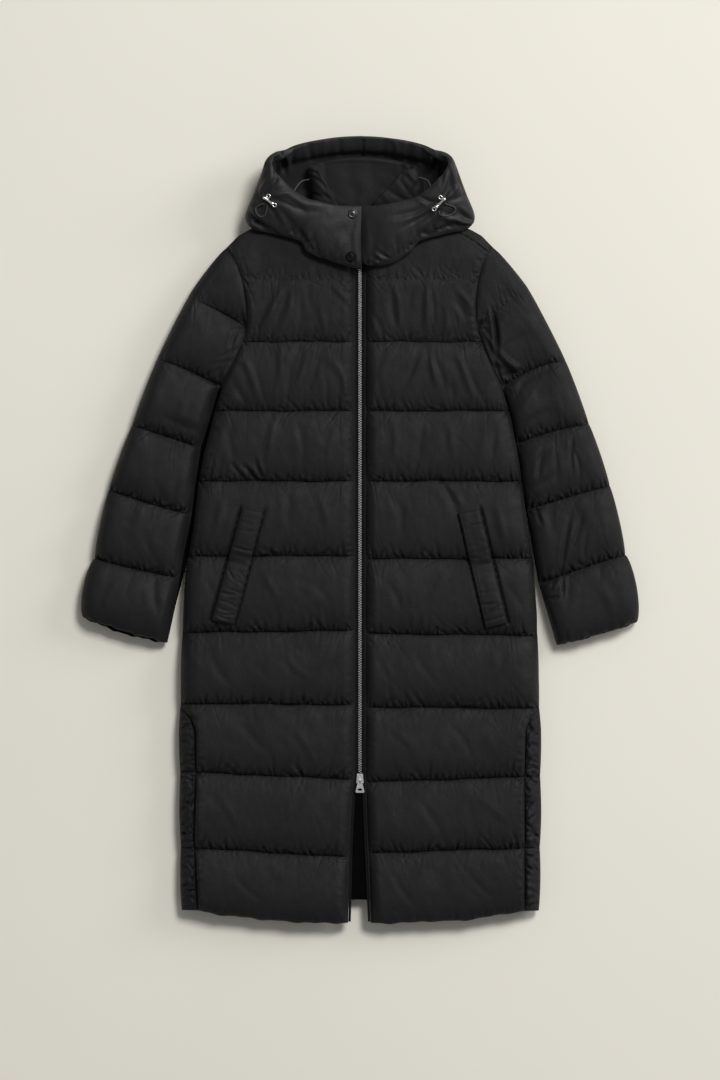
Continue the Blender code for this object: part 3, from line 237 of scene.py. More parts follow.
SLEEVE_BAFFLES = LEFT_SLEEVE.size - 1
SLEEVE_QUILTED = range(1, SLEEVE_BAFFLES)
ARMHOLE_BAFFLES = 2     # those whose inner end is sewn to the body
SLEEVE_GATHERED = (0.0, 0.3, 0.7, 1.0, 1.1, 1.2)
SLEEVE_FAINT = (0, 13, 9, 4, 2, 0, 0)   # how much shallower each line is at the outer fold
FAINT_REACH = {-1: 0.62, 1: 1.3}        # how far in the first line stays faint
LATER_FAINT_REACH = 0.62                # and the others

# Where along a sleeve each change starts, and over what length it happens, in baffles.
DROOP_BELOW = (0.0, 0.6)                # the outer fold hangs down
FREE_BELOW = (1.8, 0.4)                 # the inner side is free of the armhole
FOLD_BELOW = (1.95, 0.3)                # and is rounded off as a fold
CLEAR_BELOW = (ARMHOLE_BAFFLES, 0.07)   # and keeps its distance to the body
NEAR_CUFF = (4.6, 0.8)                  # which then passes over to the cuff's

# Hood: sections of the wall's middle from the neck seam to the face edge, in the
# order that they go round from the chin to the crown, each with its thickness.
HOOD_SECTIONS = (
    (((98, 485, 50), (98, 498, 57), (99, 521, 66), (95, 545, 70), (90, 554, 67)), 1.00),
    (((140, 498, 47), (143, 510, 54), (139, 534, 66), (124, 561, 74), (117, 572, 71)), 1.00),
    (((170, 505, 43), (180, 517, 47), (172, 547, 59), (151, 590, 73), (145, 604, 72)), 0.90),
    (((181, 518, 35), (185, 532, 33), (169, 570, 44), (153, 614, 66), (147, 619, 68)), 0.80),
    (((152, 519.8, 22), (160, 546, 15), (148, 600, 24), (137, 627, 50), (132, 625, 62)), 0.95),
    (((106, 525.8, 13), (114, 572, 9), (111, 617, 22), (109, 629, 41), (101, 645.5, 52)), 0.80),
    (((50, 513.9, 12), (54, 572, 8), (52, 629, 17), (50, 640, 36), (48, 657, 46)), 0.70),
    (((-0.05, 511.8, 12), (-0.05, 572, 8), (-0.05, 632, 17), (-0.05, 643.5, 35),
      (-0.05, 660.5, 45)), 0.65),
)
LEFT_CHIN = (
    (((-2, 437, 56.5), (-2, 451, 63), (-1, 490, 66), (-2, 531, 65), (-2, 542, 63)), 0.55),
    (((16, 441, 55.5), (16, 455, 63), (16, 494, 66.5), (16, 532, 66), (16, 542, 64)), 0.60),
    (((48, 452, 54), (48, 467, 62), (49, 504, 68), (46, 534, 67), (44, 544, 65)), 0.95),
    (((84, 466, 53), (80, 481, 60.5), (76, 512, 68), (73, 540, 68.5), (70, 549, 66)), 1.00),
)
RIGHT_CHIN = (
    (((-20, 452, 48), (-20, 464, 52), (-20, 494, 54), (-20, 528, 53.5), (-20, 538, 53)), 0.45),
    (((-1, 449, 50), (-1, 461, 54), (-1, 494, 56), (-1, 530, 55.5), (-1, 540, 55)), 0.45),
    (((20, 444, 50.5), (20, 457, 58), (20, 496, 63), (20, 532, 62), (20, 542, 60)), 0.65),
    (((50, 448, 52.5), (50, 464, 60.5), (51, 502, 67.5), (48, 534, 66.5), (46, 545, 64.5)), 0.95),
    (((80, 467, 52.5), (78, 481, 60.5), (76, 512, 68), (73, 540, 68.5), (70, 550, 66)), 1.00),
)
CHINS = {-1: LEFT_CHIN, 1: RIGHT_CHIN}

# Where the hood gathers along its lower edge, and its seam at the crown.
HOOD_HEM = ((4, 444), (30, 448), (50, 454), (84, 470), (100, 489), (140, 502), (170, 510),
            (182, 520))
CROWN_SEAM = ((4, 600), (4, 625), (5, 654))

# Collar: rings of the wall's middle from the neck seam up, each open at the front.
COLLAR_RINGS = rows_of(
    "y_front y_outer y_back left right z_low z_high left_edge right_edge",
    (468, 518.4, 513.4, 80, 80, 23.5, 36.0, 7, 7),
    (506, 532, 535, 79, 84, 23.5, 39.0, 26, 17),
    (549, 556, 570, 75, 100, 24.0, 45.0, 42, 26),
    (586, 582, 602, 78, 101, 25.0, 50.0, 56, 56),
    (619, 604, 628, 84, 92, 27.5, 49.0, 69, 73),
)

# The shoulder seam that shows on the right front.
SHOULDER_SEAM = ((152, 505), (160, 502), (180, 492), (200, 478.5), (210, 470), (219, 463))

# Pocket welts: corners of the long opening edge and of the sewn edge.
WELTS = {
    -1: ((198, 37), (163, 30), (212, -160), (249, -152)),
    1: ((200, 35), (165, 28), (211, -166), (247, -157)),
}
WELT_THICKNESS = 5.0
WELT_EDGE_THICKNESS = 1.6
WELT_LEAST_THICKNESS = 0.8
WELT_SEAT_REACH = 5.0   # it lies on the front's highest point within this reach
WELT_LENGTH = 200.0     # its size in the map that its folds are drawn into
WELT_WIDTH = 35.0
WELT_OPEN_X = 3         # where in it the gathers of each long edge start
WELT_SEWN_X = 33
WELT_STITCH_X = 31.0    # and where the row of stitches runs

SNAPS = rows_of("name x y", ("snap_upper", -12, 529), ("snap_lower", -15, 458))
SNAP_RADIUS = 7.8
SNAP_LIFT = 1.5         # at most this much higher than its solid

# Cord toggles: the bar's two ends, and how far along it the ring on its upper side is.
TOGGLES = rows_of(
    "side bar_from bar_to ring_share",
    (-1, (-162.0, 556.5), (-144.5, 544.5), 0.3),
    (1, (142.5, 554.5), (125.5, 537.5), 0.2),
)
TOGGLE_RADIUS = 2.9
RING_RADIUS = 2.9
RING_WIRE = 1.05
RING_SEAT = 0.6         # how deep a ring's wire sits in the bar
TOGGLE_LOOPS = {
    -1: ((-160.5, 545.5), (-168, 543.5), (-174, 539.5), (-174.3, 533.5), (-171.5, 527.5),
         (-165.5, 524.0), (-159.8, 526.5), (-157.0, 532.5), (-155.8, 538.5), (-155.2, 543.5)),
    1: ((142.0, 545.5), (149, 543.0), (156, 541.0), (160.0, 536.5), (157.0, 531.0),
        (151.5, 527.5), (145, 525.5), (138, 525.3), (133.0, 528.5), (131.5, 533.5)),
}
COLLAR_LOOPS = {
    -1: ((-114, 562, 57), (-109, 571, 54), (-103, 580, 50), (-96, 586, 45), (-88, 588, 41)),
    1: ((120, 573, 58), (117, 579, 58), (113, 586, 58), (108, 592, 59)),
}
CORD_RADIUS = 1.3
ELASTIC_RADIUS = 0.9
LOOP_GAP = 0.8          # between an elastic loop's end and the cloth
LOOP_LEAD = 4.0         # from the cloth to where the loop starts to bend

# The zip, from its top down to the slider and the pull tab.
CHAIN_TOP_Y = 465
CHAIN_MIDDLE = 29.1     # height of the teeth's middle
CHAIN_PITCH = 2.9
CHAIN_EDGE_X = 2.6      # the woven edge beside the teeth, and how far below their middle it is
CHAIN_EDGE_DROP = 0.6
CHAIN_EDGE_RADIUS = 0.55
SLIDER_TOP_Y = -410
SLIDER_LENGTH = 16.0
SLIDER_TOP_SHARE = 0.80  # its width at its top, as a share of the whole
TAPE_BOTTOM = 28.4
TAPE_THICKNESS = 1.2
TAPE_WIDTH = 4.2
TAPE_RIPPLE = 0.10      # height of the ripples along it

# ---------------------------------------------------------------- folds
# Main folds of the fronts. Each row: the fold's middle, the way it runs (degrees
# from +X), its length, its half width and its depth, less than 0 for a ridge.
FRONT_FOLDS = folds_of(
    (-145, 378, 64, 78, 6, -1.9), (-133, 372, 68, 66, 5, 1.6), (-120, 366, 74, 70, 5, -1.4),
    (-100, 360, 84, 60, 5, 1.2), (-30, 392, 128, 46, 5, -1.7), (-22, 378, 124, 40, 4.5, 1.5),
    (-62, 350, 100, 52, 6, -1.1), (-168, 352, 58, 52, 5.5, 1.5), (-86, 392, 96, 44, 5, 1),
    (-182, 262, 116, 66, 6, -2.1), (-172, 250, 108, 60, 5.5, 1.8), (-133, 272, 86, 84, 5.5, -1.7),
    (-118, 262, 78, 78, 5, 1.5), (-96, 270, 74, 70, 5, -1.5), (-80, 252, 70, 76, 5, 1.4),
    (-30, 262, 116, 70, 6.5, -1.6), (-17, 250, 110, 50, 5, 1.3), (-55, 236, 90, 50, 5, 1),
    (-202, 228, 122, 52, 6, 1.7), (-203, 96, -50, 34, 2.8, 5.2), (-183, 96, -50, 32, 2.8, 5.2),
    (-169, 99, -66, 36, 2.6, 5.2), (-150, 150, 80, 64, 6, -1.6), (-96, 142, 96, 66, 6, 1.5),
    (-48, 148, 76, 54, 6, -1.3), (-218, 140, 100, 60, 7, 1.7), (-120, 40, 88, 52, 7, 1.4),
    (-60, 30, 104, 58, 6, -1.3), (-236, 20, 74, 58, 7, -1.8), (-206, 8, 66, 60, 7, 1.7),
    (-70, -100, 138, 64, 5.2, 0.9), (-150, -92, 120, 54, 5.2, -0.9),
    (-240, -118, 116, 60, 5.2, 1.1), (-110, -230, 130, 60, 5.2, -0.9),
    (-238, -236, 122, 66, 6, 1.1), (-48, -222, 66, 56, 4.5, 0.8), (-180, -350, 132, 56, 5.2, 0.9),
    (-90, -362, 120, 60, 5.2, -0.9), (-112, -480, 60, 66, 6, 1), (-220, -470, 122, 56, 5.2, -0.9),
    (-60, -600, 56, 52, 5.2, 0.9), (-190, -604, 136, 56, 5.2, 0.9), (54, 368, 100, 62, 5.5, 1.4),
    (66, 372, 96, 66, 5, -1.5), (112, 376, 88, 72, 5, -1.8), (124, 368, 92, 60, 4.5, 1.4),
    (146, 352, 90, 48, 5, -1.3), (178, 386, 128, 48, 5.5, -2), (170, 370, 122, 40, 5, 1.6),
    (28, 352, 122, 40, 5, 1.3), (84, 392, 76, 44, 5, 1), (92, 262, 58, 80, 6, -2),
    (80, 248, 60, 70, 5, 1.7), (122, 274, 98, 66, 5, -1.7), (136, 262, 108, 62, 5, 1.5),
    (40, 270, 76, 60, 6, -1.2), (178, 262, 112, 70, 6, -2), (190, 246, 116, 60, 5.5, 1.8),
    (30, 226, 70, 44, 5, 1.2), (156, 226, 92, 46, 5, 1.2), (60, 148, 88, 60, 6, -1.4),
    (100, 140, 80, 66, 6, 1.6), (154, 150, 96, 54, 6, -1.4), (222, 138, 78, 62, 7, 1.8),
    (146, 66, 122, 74, 6.5, 2.2), (160, 60, 122, 62, 6, -1.6), (70, 20, 92, 60, 7, 1.5),
    (236, 12, 104, 60, 7, -1.8), (60, -110, 116, 66, 5.2, 0.9), (130, -96, 60, 56, 5.2, -0.9),
    (262, -112, 122, 60, 5.2, 1), (110, -236, 126, 60, 5.2, 0.9), (232, -240, 64, 66, 6, 1.1),
    (46, -230, 114, 52, 4.5, -0.8), (176, -356, 122, 60, 5.2, 0.9),
    (74, -350, 136, 52, 5.2, -0.8), (120, -482, 122, 66, 6, 1), (226, -470, 138, 54, 5.2, -0.8),
    (70, -604, 124, 54, 5.2, 0.9), (200, -598, 132, 58, 5.2, 0.9),
)

# Main folds of the upper sleeves.
SLEEVE_FOLDS = folds_of(
    (-220, 296, 28, 38, 3.6, 2.6), (-228, 282, 12, 34, 3.6, 2.4), (-238, 268, 36, 40, 4, 2.2),
    (-214, 318, 74, 34, 3.4, 2.2), (-300, 196, 70, 54, 8, -1.4), (-290, 172, -22, 80, 7, 2),
    (-330, 158, -28, 70, 6, 1.6), (-318, 240, 62, 60, 9, 1.2), (-330, 52, -58, 46, 6, 1.2),
    (-312, 60, 76, 56, 7, 1.6), (-370, 20, 66, 62, 9, -1.3), (-350, -40, -62, 46, 6, 1),
    (-388, -90, 74, 56, 9, 1.3), (-346, -110, 96, 62, 7, 1.8), (-420, -110, 64, 50, 7, -1.2),
    (-250, 410, 58, 70, 9, 1.2), (229, 331, 95, 64, 3.4, 12), (242, 268, -24, 40, 6.5, 8.5),
    (300, 22, -72, 24, 3, 4.6), (292, 30, 20, 26, 3.4, 4.2), (341, -98, 88, 28, 2.4, 4.4),
    (326, -114, 4, 24, 2.4, 4), (330, -92, 64, 24, 3, -2.6), (318, -84, 8, 26, 3.4, 4.2),
    (344, -24, 82, 92, 3.6, 2.4), (352, -20, 80, 80, 3.4, -1.2), (366, -2, 72, 52, 3.4, 2.2),
    (377, -27, 84, 50, 3.2, 2), (355, 133, 86, 40, 3.4, 2.2), (368, 106, 98, 46, 3.2, 2),
    (302, 108, 80, 52, 4.4, 2.4), (330, 112, 92, 60, 4.6, 1.4), (219, 316, 112, 42, 2.8, -2),
    (222, 300, -64, 30, 3, 3.6), (214, 330, 120, 22, 2.4, 3), (240, 279, -44, 50, 4.2, 6),
    (250, 284, -40, 44, 2.8, -1.6), (231, 264, -72, 36, 4.4, 6), (252, 262, 14, 36, 3.8, 4.6),
    (222, 290, -60, 26, 2.8, 2.6), (300, 262, 28, 78, 6, 1.7), (224, 346, 40, 44, 5, 1.9),
    (262, 224, 60, 60, 6, 2.2), (274, 206, 52, 58, 5.5, -1.7), (290, 186, 36, 66, 6, 2),
    (336, 206, 112, 60, 9, -1.3), (300, 118, 40, 56, 6, 1.9), (350, 120, 104, 58, 9, 1.3),
    (300, 76, 24, 74, 6.5, 1.9), (376, 40, 112, 60, 9, -1.2), (320, 20, 96, 56, 7, 1.7),
    (346, -34, 60, 46, 6, 1.1), (402, -60, 104, 60, 9, 1.3), (350, -100, 84, 62, 7, 1.7),
    (420, -120, 112, 54, 8, -1.2), (256, 416, 118, 60, 9, -1.2),
)

# Folds of the hood: pulls round the toggles, folded corners, gathered chin and
# the lining's long folds behind the collar.
HOOD_FOLDS = folds_of(
    (-172, 560, 108, 40, 3.4, 2.7), (-164, 570, 70, 42, 3.6, -2.2), (-152, 574, 48, 46, 3.6, 2.2),
    (-138, 560, 12, 40, 3.8, -2), (-130, 548, -22, 54, 4, 2.4), (-142, 526, -60, 44, 4, 2.7),
    (-176, 540, 172, 26, 3.2, 2.5), (-179, 524, -52, 40, 3.8, 4.1), (-170, 512, -38, 46, 4, 3.9),
    (-178, 512, -30, 26, 3, -2.2), (-156, 508, -34, 50, 4.4, 2.5), (-120, 520, -40, 58, 6, 2.1),
    (-108, 500, -48, 46, 5, 2.8), (-92, 486, -62, 42, 4.6, 3.1), (-74, 474, -72, 36, 4.4, 2.8),
    (-60, 480, -84, 40, 6, -0.9), (-44, 470, -96, 40, 5.4, 1.1), (-9, 486, 88, 84, 4.4, -1),
    (-34, 500, 20, 34, 7, 0.5), (-20, 452, 84, 22, 4.2, 1.1), (-34, 458, 100, 24, 4.4, 0.9),
    (-86, 534, -8, 60, 6, 1.8), (-60, 528, -4, 50, 6, -0.8), (-112, 548, -30, 44, 4.4, 2.1),
    (-168, 596, 62, 44, 4, 2.1), (-160, 612, 74, 36, 3.6, -1.8), (156, 566, 44, 46, 3.6, -2.8),
    (164, 556, 24, 44, 3.6, 2.8), (148, 576, 76, 42, 3.6, 2.4), (118, 548, 160, 48, 3.8, 3.1),
    (112, 534, 30, 58, 4.2, -2.7), (104, 524, 26, 66, 4.2, 3.1), (122, 526, 36, 44, 3.8, 2.7),
    (132, 514, 62, 40, 3.8, -2.1), (156, 520, -14, 54, 4, -2.7), (168, 512, -6, 50, 3.6, 3.6),
    (150, 508, 4, 52, 3.8, 2.8), (178, 526, -34, 34, 3.6, 2.8), (182, 514, 10, 26, 3, -2.4),
    (130, 500, 18, 52, 4.4, 2.8), (112, 494, 32, 44, 4.4, -2), (96, 486, 52, 42, 4.6, 2.8),
    (78, 478, 66, 36, 4.6, 2.4), (62, 470, 84, 38, 6, 1.3), (40, 462, 96, 34, 5.4, 1),
    (22, 470, 84, 46, 5.4, 1), (12, 500, 92, 60, 6, -0.6), (84, 530, 12, 56, 5, 1.8),
    (60, 516, 6, 50, 6.4, -0.7), (166, 594, 104, 46, 4, 2.5), (158, 584, 96, 50, 3.8, -2.2),
    (172, 574, 112, 38, 3.8, 2.1), (-129, 622, 100, 44, 4.2, 4.8), (-122, 618, 92, 40, 4, -3.1),
    (-140, 600, 84, 40, 4.4, 3.4), (-112, 628, 84, 34, 4, 2.5), (-84, 636, 96, 30, 4.2, 3.1),
    (-60, 640, 80, 26, 4.2, -2), (-34, 642, 94, 26, 4.2, 2.5), (40, 640, 84, 28, 4.2, 2.2),
    (62, 638, 98, 30, 4.2, -2), (82, 634, 82, 36, 4, 3.6), (104, 628, 96, 34, 4, 2.5),
    (128, 618, 74, 44, 4.2, 4.2), (136, 606, 96, 44, 4.2, 3.1), (120, 622, 84, 34, 4, -2.5),
)

# Folds of the collar: ribs over its two flaps, and the smooth back's soft pulls.
COLLAR_FOLDS = folds_of(
    (-86, 606, 40, 24, 3, 1.6), (-74, 598, -30, 30, 3.2, 1.9), (-84, 580, 64, 34, 3.4, 1.5),
    (-66, 582, -46, 40, 3.4, 2.2), (-74, 562, -24, 26, 3, 1.6), (-56, 566, -50, 44, 3.6, -1.8),
    (-46, 552, -38, 40, 3.4, 1.8), (-58, 600, 96, 36, 3.4, 1.6), (-34, 542, 8, 32, 3.2, 1.2),
    (94, 610, 120, 26, 3, 1.6), (102, 592, 100, 34, 3.2, 1.9), (86, 592, 140, 36, 3.4, -1.6),
    (90, 572, 60, 34, 3.4, 1.8), (76, 574, 126, 44, 3.6, 2), (62, 560, 150, 40, 3.4, 1.6),
    (48, 552, 134, 40, 3.6, -1.6), (70, 604, 84, 34, 3.4, 1.5), (30, 543, 170, 34, 3.2, 1.4),
    (-20, 596, 96, 50, 9, 1), (24, 600, 84, 50, 9, 1), (4, 560, 90, 46, 8, -0.8),
)

# The collar's rolled upper edge.
COLLAR_ROLL = folds_of(
    (-10, 623, 0, 130, 3.6, -1.8), (78, 610, 118, 50, 3.4, -2), (-74, 610, 62, 40, 3.4, -1.6),
)

# Folds of the pocket welts, across from the opening edge and down from the top.
WELT_FOLDS = {
    -1: folds_of(
        (18, 70, 2, 40, 1.8, 1.7), (14, 150, -6, 30, 2.4, 2), (24, 143, 4, 20, 1.8, 1.3),
        (12, 178, 10, 26, 2, 1.4), (25, 184, -12, 22, 1.8, 1.2), (8, 164, 0, 18, 1.8, 1.3),
        (10, 116, 50, 22, 1.8, 1.7), (27, 112, 40, 18, 1.8, 1.3), (25, 167, 20, 18, 1.8, 1),
        (16, 192, 8, 28, 1.6, 1.2), (26, 126, 24, 16, 1.8, 1),
    ),
    1: folds_of(
        (29, 79, -20, 16, 1.6, 1.8), (24, 161, -8, 28, 2.2, 2.4), (14, 170, 20, 24, 1.8, 2.2),
        (17, 188, 5, 36, 1.8, 2.4), (29, 124, 10, 14, 1.6, 1.6), (22, 176, 14, 26, 1.8, 1.6),
        (28, 140, -6, 16, 1.6, 1.4), (8, 22, 0, 16, 1.4, -1.2),
    ),
}

# How cloth gathers beside a row of stitches: mean spacing of the gathers, their
# length, half width, depth, and how far they swing from square to the row.
Gather = namedtuple("Gather", "spacing length width depth swing")
ABOVE_LINE = Gather(8.0, 14.0, 2.1, 4.2, 32)
MIDDLE_PULLS = Gather(15.0, 25.0, 2.7, 3.2, 32)
BELOW_LINE = Gather(10.0, 10.0, 2.1, 0.8, 26)
FINE_CREASES = Gather(15.0, 46.0, 1.5, 0.75, 36)
LONG_PULLS = Gather(26.0, 50.0, 3.4, 0.55, 18)
TOP_PULLS = Gather(40.0, 50.0, 3.0, 0.35, 20)
AT_EDGE = Gather(9.0, 13.0, 2.3, 2.0, 28)
ALONG_ARMHOLE = Gather(12.0, 15.0, 2.8, 1.1, 26)
HEM_GATHER = Gather(11.0, 14.0, 2.6, 1.5, 28)
HOOD_PULLS = Gather(10.0, 22.0, 3.0, 2.2, 34)
STRIP_SEAM_PULLS = Gather(10.0, 18.0, 2.6, 5.0, 32)
STRIP_EDGE_PULLS = Gather(11.0, 16.0, 2.6, 4.5, 32)
UNDER_LAYER = Gather(14.0, 18.0, 3.2, 1.3, 24)
WELT_OPEN = Gather(30.0, 16.0, 2.6, 0.7, 26)
WELT_SEWN = Gather(24.0, 13.0, 2.4, 1.0, 30)

# The gathers of each quilting line of the fronts and of the sleeves, in the order that
# they are drawn: the side of the line (1 above it) and whether they grow with GATHERED.
FRONT_GATHERS = (
    (ABOVE_LINE, 1, True), (BELOW_LINE, -1, True), (MIDDLE_PULLS, 1, True),
    (LONG_PULLS, 1, False), (TOP_PULLS, -1, False), (FINE_CREASES, 1, False),
    (FINE_CREASES, -1, False),
)
SLEEVE_GATHERS = ((BELOW_LINE, -1), (LONG_PULLS, 1), (TOP_PULLS, -1), (FINE_CREASES, -1),
                  (FINE_CREASES, 1))

# A sleeve's line gathers a second time on its inner part, from this one of its points on,
# and those gathers are turned by so many degrees.
INNER_GATHER_FROM = 25
INNER_GATHER_LEAN = -14.0

# Pulls that fan out from a line's end: their middle's turn from the line (on the back,
# from square to it), the angle that they spread over, how many they are, and their size.
Fan = namedtuple("Fan", "turn spread count length width depth")
FRONT_FANS = (Fan(42, 46, 4, 26.0, 3.0, 1.5), Fan(-42, 46, 3, 22.0, 3.0, 1.0))
BACK_FANS = (Fan(60, 50, 4, 30.0, 3.6, 1.8), Fan(60, 50, 3, 26.0, 3.6, 1.4))
SLEEVE_FANS = (Fan(44, 60, 5, 34.0, 3.4, 2.8), Fan(-50, 40, 3, 26.0, 3.2, 1.8))
SLEEVE_OUTER_FAN = Fan(-24, 50, 3, 20.0, 3.2, 1.2)

# Where the gathers along the edges run: from and to which height, and how far in.
EDGE_PULLS_Y = (455.0, -645.0)
STRIP_PULLS_Y = (-310, -635)
ZIP_PULLS_IN = 3.0
SIDE_PULLS_IN = 2.0
HEM_PULLS_IN = 1.0
STRIP_SEAM_PULLS_IN = 1.5

# Each relief map's box (low x and y, high x and y) and its lumps (their size along x
# and along y, and their height).
HOOD_BOX = (-215, 420, 215, 680)
COLLAR_BOX = (-120, 440, 120, 660)
BODY_BOX = (-320, -690, 320, 550)
STRIP_BOX = (-320, -690, 320, -280)
SLEEVE_BOXES = {-1: (-490.0, -215, -180.0, 500), 1: (180.0, -215, 490.0, 500)}
WELT_BOX = (0, -20, 50, 230)
HOOD_LUMPS = ((26, 26, 0.45),)
HOOD_LINING_LUMPS = ((24, 30, 0.5),)
COLLAR_LUMPS = ((22, 22, 0.3),)
COLLAR_LINING_LUMPS = ((20, 20, 0.3),)
FRONT_LUMPS = ((60, 70, 0.6), (17, 22, 0.22), (8, 10, 0.11))
BACK_LUMPS = ((60, 80, 0.9),)
STRIP_LUMPS = ((13, 15, 1.0),)
SLEEVE_LUMPS = ((45, 55, 0.6), (16, 20, 0.2), (8, 10, 0.11))
WELT_LUMPS = ((12, 30, 0.35),)

# Grooves beside a welt: the two corners that each runs between, how far it lies outside
# them, its width and its depth. Then those of the shoulder seam, shifted by x and y.
WELT_GROOVES = (((0, 3), 2.4, 2.2, 6.5), ((1, 2), -1.2, 1.9, 5.0))
SHOULDER_GROOVES = ((0.0, 0.0, 1.4, 2.6), (-4.0, -6.5, 1.0, 0.9))

# Profiles of the small metal parts, as (radius, height) points; a toggle's are counted
# back from its end, and a tooth's are its outline as seen from above.
SNAP_PROFILE = (
    (0.0, 0.0), (7.2, 0.0), (7.7, 0.3), (7.8, 0.8), (7.5, 1.5), (7.0, 1.9), (6.3, 2.0),
    (5.7, 1.9), (5.1, 1.5), (4.7, 1.35), (4.2, 1.45), (3.2, 1.75), (2.0, 1.95), (0.9, 2.0),
    (0.0, 2.0),
)
TOGGLE_PROFILE = (
    (0.8, 0.0), (1.6, 0.15), (2.2, 0.5), (2.65, 1.2), (2.9, 2.0), (2.9, 4.6), (2.6, 5.1),
    (2.088, 5.8), (1.96272, 7.0),
)
TOOTH_OUTLINE = (
    (-0.2, -0.62), (2.3, -0.50), (2.75, -0.78), (2.75, 0.78), (2.3, 0.50), (-0.2, 0.62),
)
TOOTH_LEVELS = ((-1.3, 0.25), (-0.9, 0.0), (0.9, 0.0), (1.35, 0.28))    # and how far inset
TOOTH_REACH = 2.75      # where along its outline a tooth's tip is
TOOTH_OVERLAP = 0.1     # how far the tip passes the chain's middle


# ---------------------------------------------------------------- arithmetic
def blend(a, b, share):
    return a + (b - a) * share


def side_name(side):
    return "left" if side < 0 else "right"


def ramp(value, start, width):
    """0 up to the start, then straight up to 1 over a width."""
    return np.clip((value - start) / width, 0.0, 1.0)


def rounding(distance, width):
    """Quarter round: 0 at an edge, 1 from `width` inwards."""
    share = ramp(distance, 0.0, width)
    return np.sqrt(1.0 - (1.0 - share) ** 2)


def s_curve(distance, width):
    """0 at an edge, 1 from `width` inwards, level at both ends."""
    share = ramp(distance, 0.0, width)
    return share * share * (3.0 - 2.0 * share)


def unit_run(count):
    """Places from 0 to 1."""
    return np.linspace(0.0, 1.0, count)


def route_on(side, x, y):
    """A line of places on one side, from distances off the middle."""
    return np.stack([side * x, y], axis=1)


def grid_of(down, across):
    """Two grids with the places down and across a panel."""
    return np.meshgrid(down, across, indexing="ij")


# The left sleeve's inner fold leans over hollow, the right one is round.
INNER_FOLD = {-1: s_curve, 1: rounding}


def puffed(share, top, at_stitches=STITCH_HEIGHT, fall_power=FALL_POWER):
    """Height of a baffle: it swells slowly below its upper line and drops to its lower one."""
    rise = (1.0 - (1.0 - share) ** RISE_POWER) ** 0.6
    fall = (1.0 - share ** fall_power) ** 0.5
    return at_stitches + (top - at_stitches) * rise * fall


def scallop(share):
    """How far the lower body's sides swell out between the lines."""
    return SCALLOP * np.sin(np.pi * share) ** 0.8


def droop(distance):
    """How far a folded side hangs down, by the distance from its edge."""
    return DROOP * (1.0 - ramp(distance, 0.0, DROOP_WIDTH)) ** 2


def waver(share, number, size):
    """Small repeatable unevenness along a row of stitches or a hem."""
    slow = np.sin(9.0 * share + 2.3 * number)
    quick = np.sin(23.0 * share + 5.1 * number)
    return size * (0.6 * slow + 0.4 * quick) * np.clip(6.0 * share * (1.0 - share), 0.0, 1.0)


def on_side(rows, side):
    """Those rows of a table whose places are on one side."""
    return [row for row in rows if row.x * side > 0]


def from_ends(count):
    """How many points each point of a row is from the row's nearer end."""
    return np.minimum(np.arange(count), count - 1 - np.arange(count))


def baffle_at(down, count=LAST_BAFFLE + 1):
    """Which baffle each place down a panel is in, and how far down that baffle it is."""
    line = np.minimum(down.astype(int), count - 1)
    return line, down - line


def end_baffles(count, rows):
    """The rows of points in the first and in the last baffle of a panel."""
    return set(range(rows + 2)) | set(range(count - rows, count))


def steps_down(count, rows):
    """Rows down a quilted panel, counted in baffles and closer together at each line."""
    share = np.linspace(0.0, 1.0, rows, endpoint=False)
    eased = share - 0.10 * np.sin(2 * np.pi * share)
    return np.append(np.concatenate([baffle + eased for baffle in range(count)]), float(count))


def steps_across(columns):
    """Columns across a panel, from 0 to 1, closer together at both edges."""
    share = unit_run(columns)
    return share - 0.06 * np.sin(2 * np.pi * share)


def smooth_grid(points, steps):
    """Points of the smooth curves through the rows of an array, `steps` to each stretch."""
    held = np.concatenate([points[:1], points, points[-1:]])
    count = len(points) - 1
    share = (np.arange(steps) / steps).reshape(1, -1, *([1] * (points.ndim - 1)))
    p0, p1, p2, p3 = (held[k:count + k][:, None] for k in range(4))
    curve = 0.5 * (2 * p1 + (p2 - p0) * share
                   + (2 * p0 - 5 * p1 + 4 * p2 - p3) * share ** 2
                   + (3 * p1 - p0 - 3 * p2 + p3) * share ** 3)
    return np.concatenate([curve.reshape(-1, *points.shape[1:]), points[-1:]])


def sample(values, row, column, eased=False):
    """Values of a grid between its points, straight or eased from point to point."""
    i, j = np.floor(row).astype(int), np.floor(column).astype(int)
    a, b = row - i, column - j
    if eased:
        a, b = s_curve(a, 1.0), s_curve(b, 1.0)
    return ((values[i, j] * (1 - b) + values[i, j + 1] * b) * (1 - a)
            + (values[i + 1, j] * (1 - b) + values[i + 1, j + 1] * b) * a)


def reach_along(route):
    """How far along a line of points each of its points is."""
    steps = np.sqrt((np.diff(route, axis=0) ** 2).sum(axis=1))
    return np.concatenate([[0.0], np.cumsum(steps)])


def walk(points, step):
    """Points at even steps along a line."""
    route = np.asarray(points, float)
    reach = reach_along(route)
    places = np.arange(0.0, reach[-1], step)
    return np.stack([np.interp(places, reach, column) for column in route.T], axis=1)


# ---------------------------------------------------------------- relief
def bell(distance, width):
    """1 at no distance, falling off to nearly nothing at twice the width."""
    return np.exp(-(distance / width) ** 2)


